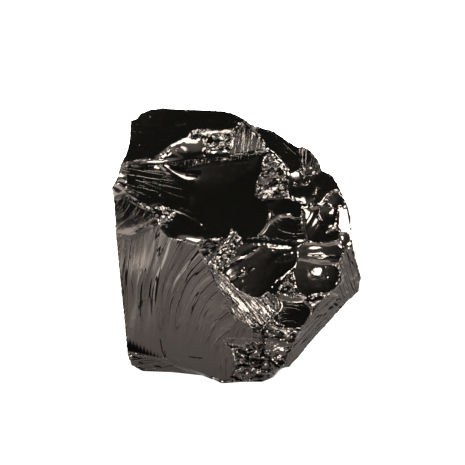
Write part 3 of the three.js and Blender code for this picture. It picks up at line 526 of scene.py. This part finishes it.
# long uneven steps: k counts them sideways, each changes over a run of its own length
def steps(k, along, run, depth, soft, salt=0):
    def level(i):
        at = along / run + 3 * hashed(i, 0, salt)
        j = np.floor(at)
        part = (at - j) ** 2 * (3 - 2 * (at - j))
        return hashed(i, j, salt + 1) * (1 - part) + hashed(i, j + 1, salt + 1) * part
    i = np.floor(k)
    share = np.clip((k - i - 0.5) / soft + 0.5, 0, 1)
    share = share * share * (3 - 2 * share)
    return depth * (level(i) * (1 - share) + level(i + 1) * share)


def lines(p, turn, pitch, run, depth, soft):
    along, beside = turned(p, turn)
    return steps(beside / pitch + 0.25 * np.sin(along * 0.9), along, run, depth, soft, turn)


def roundOf(p, origin):
    dx, dy = p[:, 0] - origin[0], p[:, 1] - origin[1]
    return np.hypot(dx, dy), np.arctan2(dy, dx)


def rays(p, origin, pitch, run, depth, soft):
    radius, turn = roundOf(p, origin)
    return steps(np.degrees(turn) / pitch + 0.2 * np.sin(radius), radius, run, depth, soft)


def rings(p, origin, pitch, run, depth, soft):
    radius, turn = roundOf(p, origin)
    return steps(radius / pitch + 0.3 * np.sin(3 * turn), turn * radius, run, depth, soft)


# lone specks, most places bare
def specks(p, spacing, height):
    total = np.zeros(len(p))
    for i, j, dx, dy in cellsAround(p[:, 0] / spacing, p[:, 1] / spacing, 0.5, 31):
        strength = np.clip(hashed(i, j, 33) - 0.3, 0, 1)
        total += strength * np.exp(-(dx * dx + dy * dy) * (spacing / 0.2) ** 2)
    return 2 * height * total


reliefs = {'flakes': flakes, 'lines': lines, 'rays': rays, 'rings': rings, 'specks': specks}


def marksOf(p, marks):
    height = np.zeros(len(p))
    for kind, *values in marks:
        height += reliefs[kind](p, *values)
    return height


# where the fine grain of a scar runs: count sideways, way along, and how strong
def grainOf(scar, p, reach):
    kind, *values = scarGrain.get(scar['name'], ('lines', 0, 1.0, 0.0))
    if kind == 'lines':
        along, beside = turned(p, values[0])
        count = beside / values[1]
    elif kind == 'fan':
        line, rise = fanLines(p)
        count, along = line / values[0], rise
    else:
        radius, turn = roundOf(p, values[0])
        count = radius / values[1] if kind == 'rings' else np.degrees(turn) / values[1]
        along = turn * radius if kind == 'rings' else radius
    if kind == 'fan':
        values[-1] = np.clip((rise - 1) / 14, 0.12, 1) + 0.5 * np.clip((line + 7) / 6, 0, 1)
    strength = values[-1] * np.minimum(1, reach / 0.4)
    return np.stack([count, along, strength], axis=1)


def lineDistance(p, points):
    best = np.full(len(p), 9e9)
    for a, b in zip(np.array(points[:-1], float), np.array(points[1:], float)):
        side = b - a
        share = np.clip(((p - a) @ side) / (side @ side), 0, 1)
        best = np.minimum(best, np.linalg.norm(p - a - share[:, None] * side, axis=1))
    return best


# the fan's hackles spread from its top edge and bend away to the right foot
def fanLines(p):
    rise = p[:, 1] - fanLook['foot']
    line = p[:, 0].copy()
    middle, growth, least = fanLook['bend']
    for _ in range(fanLook['courseRounds']):
        bendHeight = np.maximum(middle - growth * line, least)
        bent = p[:, 0] - fanLook['sweep'] * (np.maximum(rise, 0) / bendHeight) ** 4
        line = 0.5 * line + 0.5 * np.clip(bent, -40, 1)
    return line, rise


def fanRelief(p):
    line, rise = fanLines(p)
    fade = np.clip((rise - 4) / 14, 0.1, 1)
    pitch, run, depth = fanLook['ribs']
    ribs = steps(line / pitch + 0.2 * np.sin(rise * 0.3), rise, run, depth, 0.5, 51)
    pitch, run, depth = fanLook['fineRibs']
    fineRibs = steps(line / pitch + 0.2 * np.sin(rise * 0.5), rise, run, depth, 0.25, 41)
    pitch, run, depth = fanLook['hackles']
    hackles = steps(line / pitch, rise, run, depth, 0.5, 42)
    return ribs + fade * (fineRibs + hackles)


# soft uneven swell in space, -1 to 1
def swell(p, size, salt=0):
    total = np.zeros(len(p))
    for k in range(5):
        way = np.array([math.sin(k * 2.4 + salt), math.cos(k * 1.7 + salt * 1.3),
                        math.sin(k * 3.1 + 0.7 * salt + 1)])
        total += np.sin((p @ way) * (1.0 + 0.37 * k) * 2 * math.pi / size + k * 1.9 + salt)
    return total / 3.2


# a swell in each direction
def wave(p, size, salt):
    return np.stack([swell(p, size, salt + k) for k in range(3)], axis=1)


def edgeKey(first, second):
    return ' '.join(sorted([first, second]))


def prepareScars():
    drawn = namedPoints(frontCorners)
    front = []
    for name, (ring, faces, *more) in frontScars.items():
        front.append(dict(*more, name=name, corners=cornerNames(ring), slopes=scarSlopes(faces),
                          frame=(acrossDir, upDir, towardsDir), front=True))
    heights = settleHeights(drawn, front)
    place = {name: p[0] * acrossDir + p[1] * upDir + heights[name] * towardsDir
             for name, p in drawn.items()}
    for name, p in namedPoints(backCorners).items():
        place[name] = np.array(p, dtype=float)
    middle = np.mean(list(place.values()), axis=0)
    back = []
    for name, (ring, dish) in backScars.items():
        corners = cornerNames(ring)
        points = np.array([place[name] for name in corners])
        out = np.cross(points, np.roll(points, -1, axis=0)).sum(axis=0)
        out /= np.linalg.norm(out)
        if out @ (points.mean(axis=0) - middle) < 0:
            out = -out
        right = points[1] - points[0]
        right = right - (right @ out) * out
        right /= np.linalg.norm(right)
        back.append(dict(name=name, dish=dish, corners=corners, slopes=(0, 0),
                         frame=(right, np.cross(out, right), out), front=False))
    return front + back, place


def stepOf(scar):
    if scar['name'] == 'foot':
        return stoneLook['footStep']
    if not scar['front']:
        return stoneLook['backStep']
    return stoneLook['fineStep'] if scar['name'] in fineScars else stoneLook['frontStep']


# points along one edge, shared by the scars on both sides: midway between their hollows, a little ragged
def edgePoints(start, end, step, beside):
    count = max(1, math.ceil(np.linalg.norm(end - start) / step))
    share = np.arange(count + 1)[:, None] / count
    points = start + share * (end - start)
    if all(scar['front'] for scar in beside):
        flat = points @ np.array([acrossDir, upDir, towardsDir]).T
        crest = np.mean([scar['surface'](flat) for scar in beside], axis=0) - flat[:, 2]
        crest = crest[:, None] - (1 - share) * crest[0] - share * crest[-1]
        points = points + crest * towardsDir
    fromEnd = np.minimum(share, 1 - share) * np.linalg.norm(end - start)
    calm = (1, 0.6, 0.15)[sum(scar['name'] in calmScars for scar in beside)]
    if not any(scar['front'] for scar in beside):
        points = points + np.minimum(1, fromEnd / 4) * winding(points)
    return points + calm * np.minimum(1, fromEnd / 0.8) * wander(points)


# the edges behind wind by half a millimetre; none of the foot leaves the ground
def winding(points):
    loose = np.clip(points[:, 2:3] / 3.0, 0, 1)
    return loose * stoneLook['winding'] * wave(points, 8, 7)


def wander(points):
    loose = np.clip(points[:, 2:3] / 1.0, 0, 1)      # nothing moves in the foot
    return loose * stoneLook['ragged'] * (wave(points, 2.6, 1) + 0.5 * wave(points, 0.9, 4))


def insideOutline(p, outline):
    inside = np.zeros(len(p), dtype=bool)
    for a, b in zip(outline, np.roll(outline, -1, axis=0)):
        crosses = (a[1] > p[:, 1]) != (b[1] > p[:, 1])
        if a[1] != b[1]:
            inside ^= crosses & (p[:, 0] < (b[0] - a[0]) * (p[:, 1] - a[1]) / (b[1] - a[1]) + a[0])
    return inside


def scarSurface(scar, flat):
    hollow = hollowOf(scar, flat)
    slopes = np.array(scar['slopes'])
    lift = (flat[:, 2] - flat[:, :2] @ slopes - hollow(flat)).mean()
    return lambda p: p[:, :2] @ slopes + hollow(p) + lift


# a small flat of its own tilt let into a scar: how much of it is there, and how high it stands
def facet(scar, p, middle, length, width, turn, faces):
    probe = middle + np.array([[0, 0], [0.01, 0], [0, 0.01]])
    around = scar['surface'](probe)
    slopes = np.array(scarSlopes(faces)) - (around[1:] - around[0]) / 0.01
    along, beside = turned(p - middle, turn)
    inside = 1 / (1 + ((along / length) ** 2 + (beside / width) ** 2) ** 3)
    return inside, (p - middle) @ slopes


# the rims are bruised in patches
def bruises(scar, p, reach):
    x, y = p[:, 0], p[:, 1]
    patchy = np.clip(0.25 + 0.6 * np.sin(x * 1.1 + 2 * np.sin(y * 0.7)) + 0.5 * np.sin(y * 1.7), 0.1, 1)
    much = 0.1 if scar['name'] in calmScars else 1
    if scar['name'] == 'fan':
        much = np.clip(np.maximum((y - 20) / 6, (x + 7) / 2), 0.1, 1)
    near = np.exp(-(reach / stoneLook['bruise']) ** 2)
    return much * patchy * near * flakes(p, 0.6, stoneLook['edgeChips'] * 2, salt=9)


# broad shallow scoops behind, with steps and small chips on them
def backRelief(p, reach):
    broad = marksOf(p, broadMarks)
    worn = np.clip(0.5 + 0.8 * np.sin(p[:, 0] * 0.31 + 1.3 * np.sin(p[:, 1] * 0.23)), 0.1, 1)
    small = marksOf(p, [chipMarks]) * worn + marksOf(p, [speckMarks])
    return broad * np.minimum(1, reach / 3) + small


# where the gloss is gone, partly painted shade: whole dull scars, thin cracks painted as shade, and a
# painted dark reflection with a feathery top by the fan's left foot
def dullOf(scar, p, reach):
    dullAndShade = scarDullAndShade.get(scar['name'], 0) * np.minimum(1, 0.3 + reach / 0.4)
    # painted shade along the cracks and pits
    for points, width in crackShade.get(scar['name'], []):
        dullAndShade = np.maximum(dullAndShade, np.exp(-(lineDistance(p, points) / width) ** 4))
    # a painted dark reflection: a black patch with a feathery top by the fan's left foot
    if scar['name'] == 'fan':
        x, y = p[:, 0], p[:, 1]
        low = 6.05 - 0.2 * (x + 20.5)
        high = low + 2.9 - 0.34 * (x + 22) + 0.35 * np.sin(9 * x) + 0.25 * np.sin(23 * x + 1)
        paintedDarkReflection = np.clip((high - y) / 1.1, 0, 1) * np.clip((y - low) / 0.2 + 0.5, 0, 1)
        paintedDarkReflection = paintedDarkReflection * np.clip((-12.8 - x) / 0.6, 0, 1)
        dullAndShade = np.maximum(dullAndShade, paintedDarkReflection)
    return dullAndShade


# how gritty the break is: 0 glassy, 1 crumbled; rims are gritty in patches
def gritOf(scar, p, reach):
    x, y = p[:, 0], p[:, 1]
    patchy = np.clip(0.4 + 0.7 * np.sin(x * 0.9 + 2 * np.sin(y * 0.8)) + 0.6 * np.sin(y * 1.5 + 1), 0, 1)
    much = stoneLook['calmGrit'] if scar['name'] in calmScars else 1
    rim = much * patchy * np.exp(-(reach / stoneLook['gritRim']) ** 2)
    return np.maximum(scarGrit.get(scar['name'], 0), rim if scar['front'] else stoneLook['backGrit'] * rim)


def relief(scar, p, reach):
    height = flakes(p, *scar['chips']) if 'chips' in scar else np.zeros(len(p))
    for kind, *values in scarMarks.get(scar['name'], []):
        height += reliefs[kind](p, *values)
    if scar['name'] == 'fan':
        height += fanRelief(p)
    for across, up, length, width, turn, faces in glints.get(scar['name'], []):
        inside, rise = facet(scar, p, np.array([across, up]), length, width, turn, faces)
        level = (height * inside).sum() / inside.sum()
        height = height * (1 - inside) + (level + rise) * inside
    for points, width, rise in strokes.get(scar['name'], []):
        height += rise * np.exp(-(lineDistance(p, points) / width) ** 2)
    if scar['name'] != 'foot':
        height += bruises(scar, p, reach)
    if not scar['front'] and scar['name'] != 'foot':
        height += backRelief(p, reach)
    return height * np.minimum(1, reach / 0.3)


def scarPatch(scar, edges, step):
    axes = np.array(scar['frame'])
    corners = scar['corners']
    loop = []
    for a, b in zip(corners, corners[1:] + corners[:1]):
        points = edges[edgeKey(a, b)]
        if a > b:
            points = points[::-1]
        loop.append(points[:-1])
    loop = np.concatenate(loop)
    flatLoop = loop @ axes.T
    if np.cross(flatLoop[:, :2], np.roll(flatLoop[:, :2], -1, axis=0)).sum() < 0:
        loop, flatLoop = loop[::-1], flatLoop[::-1]
    surface = scar['surface']
    low, high = flatLoop[:, :2].min(axis=0), flatLoop[:, :2].max(axis=0)
    rows = np.arange(low[1], high[1], step * 0.866)
    columns = np.arange(low[0], high[0], step)
    grid = np.array([(x + (j % 2) * step / 2, y) for j, y in enumerate(rows) for x in columns])
    grid = grid[insideOutline(grid, flatLoop[:, :2])]
    if len(grid):
        gaps = np.linalg.norm(grid[:, None, :] - flatLoop[None, :, :2], axis=2)
        clear = gaps.min(axis=1) > 0.55 * step
        grid, gaps = grid[clear], gaps[clear]
    if len(grid):
        reach = gaps.min(axis=1)
        weight = 1 / gaps ** 3
        leftOver = (weight @ (flatLoop[:, 2] - surface(flatLoop))) / weight.sum(axis=1)
        lip = softLips.get(scar['name'], stoneLook['lip' if scar['front'] else 'backLip'])
        height = surface(grid) + leftOver * np.exp(-(reach / lip) ** 2)
        height += relief(scar, grid, reach)
        inner = grid[:, :1] * axes[0] + grid[:, 1:2] * axes[1] + height[:, None] * axes[2]
        points = np.concatenate([loop, inner])
        flat = np.concatenate([flatLoop[:, :2], grid])
        reach = np.concatenate([np.zeros(len(loop)), reach])
    else:
        points, flat, reach = loop, flatLoop[:, :2], np.zeros(len(loop))
    grain = grainOf(scar, flat, reach)
    dullAndShade = dullOf(scar, flat, reach)
    grit = gritOf(scar, flat, reach)
    ring = list(range(len(loop)))
    result = delaunay_2d_cdt([Vector(q) for q in flat], [], [ring], 1, 1e-7)
    # where two sides of a narrow scar cross, their new point is the nearest old one
    origins = [o[0] if o else int(np.linalg.norm(flat - np.array(result[0][k]), axis=1).argmin())
               for k, o in enumerate(result[3])]
    faces = [[origins[v] for v in face] for face in result[2]]
    return points, faces, grain, dullAndShade, grit


def buildStone(scars, place, shift):
    beside = {}
    for scar in scars:
        flatCorners = np.array([place[name] for name in scar['corners']]) @ np.array(scar['frame']).T
        scar['surface'] = scarSurface(scar, flatCorners)
        for a, b in zip(scar['corners'], scar['corners'][1:] + scar['corners'][:1]):
            beside.setdefault(edgeKey(a, b), []).append(scar)
    edges = {}
    for key, both in beside.items():
        a, b = key.split()
        edges[key] = edgePoints(place[a], place[b], min(map(stepOf, both)), both)
    print('edges:', len(edges))
    patches, allFaces, total = [], [], 0
    for scar in scars:
        points, faces, grain, dullAndShade, grit = scarPatch(scar, edges, stepOf(scar))
        patches.append((points, grain, dullAndShade, grit))
        allFaces += [[v + total for v in face] for face in faces]
        total += len(points)
    points, grain, dullAndShade, grit = [np.concatenate(part) for part in zip(*patches)]
    points = points + shift
    mesh = bpy.data.meshes.new('shungiteStone')
    mesh.from_pydata((points * mm).tolist(), [], allFaces)
    mesh.attributes.new('grain', 'FLOAT_VECTOR', 'POINT').data.foreach_set('vector', grain.ravel())
    for name, values in (('dullAndShade', dullAndShade), ('grit', grit)):
        mesh.attributes.new(name, 'FLOAT', 'POINT').data.foreach_set('value', values)
    stone = bpy.data.objects.new('shungiteStone', mesh)
    bpy.context.scene.collection.objects.link(stone)
    bpy.ops.object.select_all(action='DESELECT')
    stone.select_set(True)
    bpy.context.view_layer.objects.active = stone
    bpy.ops.object.mode_set(mode='EDIT')
    bpy.ops.mesh.select_all(action='SELECT')
    bpy.ops.mesh.remove_doubles(threshold=stoneLook['merge'])
    bpy.ops.object.mode_set(mode='OBJECT')
    bpy.ops.object.shade_smooth_by_angle(angle=math.radians(stoneLook['sharpFrom']))
    print('stone:', len(mesh.polygons), 'triangles')
    return stone


# a socket that takes part in sums
class Wire:
    def __init__(self, tree, socket):
        self.tree = tree
        self.socket = socket

    def node(self, kind, settings=None, inputs=None, output=0):
        made = self.tree.nodes.new(kind)
        for name, value in (settings or {}).items():
            setattr(made, name, value)
        for name, value in (inputs or {}).items():
            if isinstance(value, Wire):
                self.tree.links.new(value.socket, made.inputs[name])
            else:
                made.inputs[name].default_value = value
        return Wire(self.tree, made.outputs[output])

    def maths(self, operation, *values):
        return self.node('ShaderNodeMath', {'operation': operation}, dict(enumerate(values)))

    def __add__(self, other):
        return self.maths('ADD', self, other)

    def __radd__(self, other):
        return self.maths('ADD', other, self)

    def __sub__(self, other):
        return self.maths('SUBTRACT', self, other)

    def __rsub__(self, other):
        return self.maths('SUBTRACT', other, self)

    def __mul__(self, other):
        return self.maths('MULTIPLY', self, other)

    def __rmul__(self, other):
        return self.maths('MULTIPLY', other, self)

    def __abs__(self):
        return self.maths('ABSOLUTE', self)

    # 0 below low, 1 above high, smooth between
    def ease(self, low, high):
        return self.node('ShaderNodeMapRange', {'interpolation_type': 'SMOOTHSTEP'},
                         {'Value': self, 'From Min': low, 'From Max': high})

    def parts(self):
        split = self.tree.nodes.new('ShaderNodeSeparateXYZ')
        self.tree.links.new(self.socket, split.inputs[0])
        return [Wire(self.tree, socket) for socket in split.outputs]

    def scaled(self, *by):
        return self.node('ShaderNodeMapping', None, {'Vector': self, 'Scale': by})

    def feeds(self, socket):
        self.tree.links.new(self.socket, socket)


shungiteLook = {
    'black': (0.0012, 0.0012, 0.001, 1),
    'ior': 1.52,
    'sheen': (1.0, 0.84, 0.73, 1),      # tint of its reflections
    'matteAndShadeBlack': (0.0011, 0.001, 0.001, 1),  # floor of the cracks: near-black matte, also the colour of the painted shade
    'roughness': (0.06, 0.07),          # least, and what the speckle adds
    'speckleScale': 900,
    'pitScale': 2600,
    'shardScale': 2400,
    'bumpDepth': 0.00004,               # m
    'hairBump': 0.4,
    'lineBump': 0.9,
    'pitBump': 0.05,
    'shardBump': 1.3,
    # noise drawn out along the grain: squeezed by, scale, detail
    'wide': ((1, 0.07, 0), 0.9, 1),
    'close': ((1, 0.11, 0), 2.3, 1),
    'hair': ((1, 0.05, 0), 7, 2),
    'broken': ((0.5, 0.25, 0), 1.3, 2),
}


def glassyBlack():
    look = shungiteLook
    material = bpy.data.materials.new('shungite')
    material.use_nodes = True
    tree = material.node_tree
    shader = tree.nodes['Principled BSDF']
    start = Wire(tree, None)
    grain = start.node('ShaderNodeAttribute', {'attribute_name': 'grain'}, output=1)
    # share of dull break and painted shade
    dullAndShade = start.node('ShaderNodeAttribute', {'attribute_name': 'dullAndShade'}, output=2)
    grit = start.node('ShaderNodeAttribute', {'attribute_name': 'grit'}, output=2)
    place = start.node('ShaderNodeTexCoord', output=3)
    strength = grain.parts()[2]

    def noise(vector, scale, detail=2, rough=0.5):
        return vector.node('ShaderNodeTexNoise', None,
                           {'Vector': vector, 'Scale': scale, 'Detail': detail, 'Roughness': rough})

    def drawnOut(name):
        squeeze, scale, detail = look[name]
        return noise(grain.scaled(*squeeze), scale, detail)

    # long hackles: thin level lines of the drawn out noise
    wide = drawnOut('wide')
    close = drawnOut('close')
    hair = drawnOut('hair')
    crack = 1 - abs(wide - 0.5).ease(0.006, 0.022)
    scratch = 1 - abs(close - 0.5).ease(0.004, 0.03)
    broken = drawnOut('broken').ease(0.4, 0.62)
    lines = (crack + 0.7 * scratch * broken) * abs(strength)
    speckle = noise(place, look['speckleScale'], 2, 0.6)
    pits = noise(place, look['pitScale'], 1)
    shards = noise(place, look['shardScale'], 3, 0.55)

    hairs = hair * strength.maths('MAXIMUM', strength, 0) * look['hairBump']
    height = hairs + lines * look['lineBump'] + pits * look['pitBump'] + grit * shards * look['shardBump']
    bump = start.node('ShaderNodeBump', None,
                      {'Strength': 1.0, 'Distance': look['bumpDepth'], 'Height': height})
    bump.feeds(shader.inputs['Normal'])
    smooth, rougher = look['roughness']
    (smooth + rougher * speckle.ease(0.4, 0.75)).feeds(shader.inputs['Roughness'])
    shader.inputs['Base Color'].default_value = look['black']
    shader.inputs['IOR'].default_value = look['ior']
    shader.inputs['Specular Tint'].default_value = look['sheen']

    # near-black matte mixed over the gloss: painted shade in cracks, in hackle lines, on the dark step and
    # as the fan's painted dark reflection; also the dull scars and gritty shards
    matteAndShadeBlack = start.node('ShaderNodeBsdfDiffuse', None, {'Color': look['matteAndShadeBlack']})
    # lines of positive grain strength are painted black as shade in their steps
    matteAndShadeCover = lines * strength.ease(0, 0.3) * 0.9 + dullAndShade + grit * shards.ease(0.5, 0.68) * 0.7
    output = tree.nodes['Material Output']
    glass = Wire(tree, shader.outputs[0])
    mixed = start.node('ShaderNodeMixShader', None, {0: matteAndShadeCover.ease(0, 1), 1: glass, 2: matteAndShadeBlack})
    mixed.feeds(output.inputs['Surface'])
    print('finish: shungite')
    return material


scars, cornerPlace = prepareScars()
print('scars:', len(scars), 'between', len(cornerPlace), 'corners')
cornerBox = np.array(list(cornerPlace.values()))
# the outermost corners right, behind and on top lie on the box
centreShift = np.array(cadBounds[1]) / mm - cornerBox.max(axis=0)
stone = buildStone(scars, cornerPlace, centreShift)
stone.data.materials.append(glassyBlack())
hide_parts('stone')
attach(stone, 'root')


studio = {
    'cameraDistance': 1.2,
    'viewWidth': 465,       # points across the view
    'pixel': 0.0002,        # size of such a point at the stone, m
    'aim': (-0.9, 30.2),    # drawing point in the middle of the view, mm
    'lightDistance': 1.2,
    # glow of the floor, painted light and shade: its painted shadow by the stone, what is added around it,
    # lost far off, added left and in a painted pool of light
    'floorSize': 6,
    'floorGlow': (0.34, 1.1, 1.0, 0.9, 5),
    # middles of the floor's painted shadow and of its painted pool of light
    'shadeMiddle': (0.04, 0, 0),
    'lightPoolMiddle': (0.018, -0.09, 0),
    # glow of the sky: everywhere, low down, overhead, at the sides and in the halo
    'skyGlow': (0.008, 1.0, 2.2, 0.8, 0.35),
    'haloWay': (0.63, -0.75, 0.2),
    # name: (round to the right, up, width, height, radiance)
    'lights': {
        'left': (-100, 30, 0.6, 0.6, 34),
        'right': (101, 20, 0.55, 0.6, 34),
        'top': (180, 67, 1.0, 0.85, 30),
        'frontLow': (7, 6, 0.42, 0.26, 38),
        'frontRight': (40, 20, 0.24, 0.18, 38),
        'leftHigh': (-56, 60, 0.5, 0.45, 34),
        'rightHigh': (75, 56, 0.4, 0.3, 34),
    },
}


def addCamera(shift):
    data = bpy.data.cameras.new('camera')
    camera = bpy.data.objects.new('camera', data)
    bpy.context.scene.collection.objects.link(camera)
    data.sensor_fit = 'HORIZONTAL'
    data.sensor_width = 36
    viewSpan = studio['viewWidth'] * studio['pixel']
    data.lens = data.sensor_width * studio['cameraDistance'] / viewSpan
    data.clip_start = 0.05
    data.clip_end = 20
    aim = (studio['aim'][0] * acrossDir + studio['aim'][1] * upDir + shift) * mm
    camera.location = aim + towardsDir * studio['cameraDistance']
    camera.rotation_euler = (math.radians(90) - drawingTilt, 0, 0)
    bpy.context.scene.camera = camera
    print('camera placed')


def areaLight(name, around, lift, width, height, radiance):
    data = bpy.data.lights.new(name, 'AREA')
    data.shape = 'ELLIPSE'
    data.size, data.size_y = width, height
    data.energy = radiance * math.pi * math.pi / 4 * width * height
    light = bpy.data.objects.new(name, data)
    bpy.context.scene.collection.objects.link(light)
    place = Vector(wayOf(around, lift)) * studio['lightDistance']
    light.location = place
    light.rotation_euler = (-place).to_track_quat('-Z', 'Y').to_euler()
    light.visible_camera = False


def distanceTo(place, point):
    return place.node('ShaderNodeVectorMath', {'operation': 'DISTANCE'}, {0: place, 1: point}, output=1)


# dark at eye level in front and behind, soft light from above, the sides and low down
def addWorld():
    world = bpy.data.worlds.new('studio')
    bpy.context.scene.world = world
    world.use_nodes = True
    tree = world.node_tree
    way = Wire(tree, None).node('ShaderNodeTexCoord')
    across, _, up = way.parts()
    halo = way.node('ShaderNodeVectorMath', {'operation': 'DOT_PRODUCT'},
                    {0: way, 1: studio['haloWay']}, output=1)
    base, low, overhead, sides, ring = studio['skyGlow']
    lowLight = low * (1 - up.ease(-0.05, 0.3))
    highLight = overhead * up.ease(0.84, 1.0)
    sideLight = sides * abs(across).ease(0.75, 1.0)
    sky = tree.nodes['Background']
    (base + lowLight + highLight + sideLight + ring * halo.ease(0.88, 1.0)).feeds(sky.inputs['Strength'])
    sky.inputs['Color'].default_value = (1, 1, 1, 1)


def addFloor():
    bpy.ops.mesh.primitive_plane_add(size=studio['floorSize'], location=(0, 0, 0))
    floor = bpy.context.object
    floor.name = 'floor'
    glowingPaper = bpy.data.materials.new('glowingPaper')
    glowingPaper.use_nodes = True
    tree = glowingPaper.node_tree
    shader = tree.nodes['Principled BSDF']
    shader.inputs['Base Color'].default_value = (0.1, 0.1, 0.1, 1)
    shader.inputs['Roughness'].default_value = 1
    shader.inputs['Specular IOR Level'].default_value = 0
    shader.inputs['Emission Strength'].default_value = 3.0
    # the floor glows with painted light and shade: a painted shadow round the stone, paler away from it
    # and to its left, dimmer again far off, with one painted pool of light in front
    place = Wire(tree, None).node('ShaderNodeTexCoord', output=3)
    away = distanceTo(place, studio['shadeMiddle'])
    lightPool = distanceTo(place, studio['lightPoolMiddle'])
    leftward = 0 - place.parts()[0]
    base, around, lost, left, bright = studio['floorGlow']
    glow = base + around * away.ease(0.07, 0.155) - lost * away.ease(0.3, 1.6)
    glow = glow + left * leftward.ease(0.05, 0.08) + bright * (1 - lightPool.ease(0.015, 0.04))
    grey = glow.node('ShaderNodeCombineXYZ', None, {0: glow, 1: glow, 2: glow})
    grey.feeds(shader.inputs['Emission Color'])
    floor.data.materials.append(glowingPaper)


def addStudio():
    bpy.context.scene.view_settings.view_transform = 'Standard'
    addWorld()
    addFloor()
    for name, values in studio['lights'].items():
        areaLight(name, *values)
    print('studio:', len(studio['lights']), 'lights')


addCamera(centreShift)
addStudio()
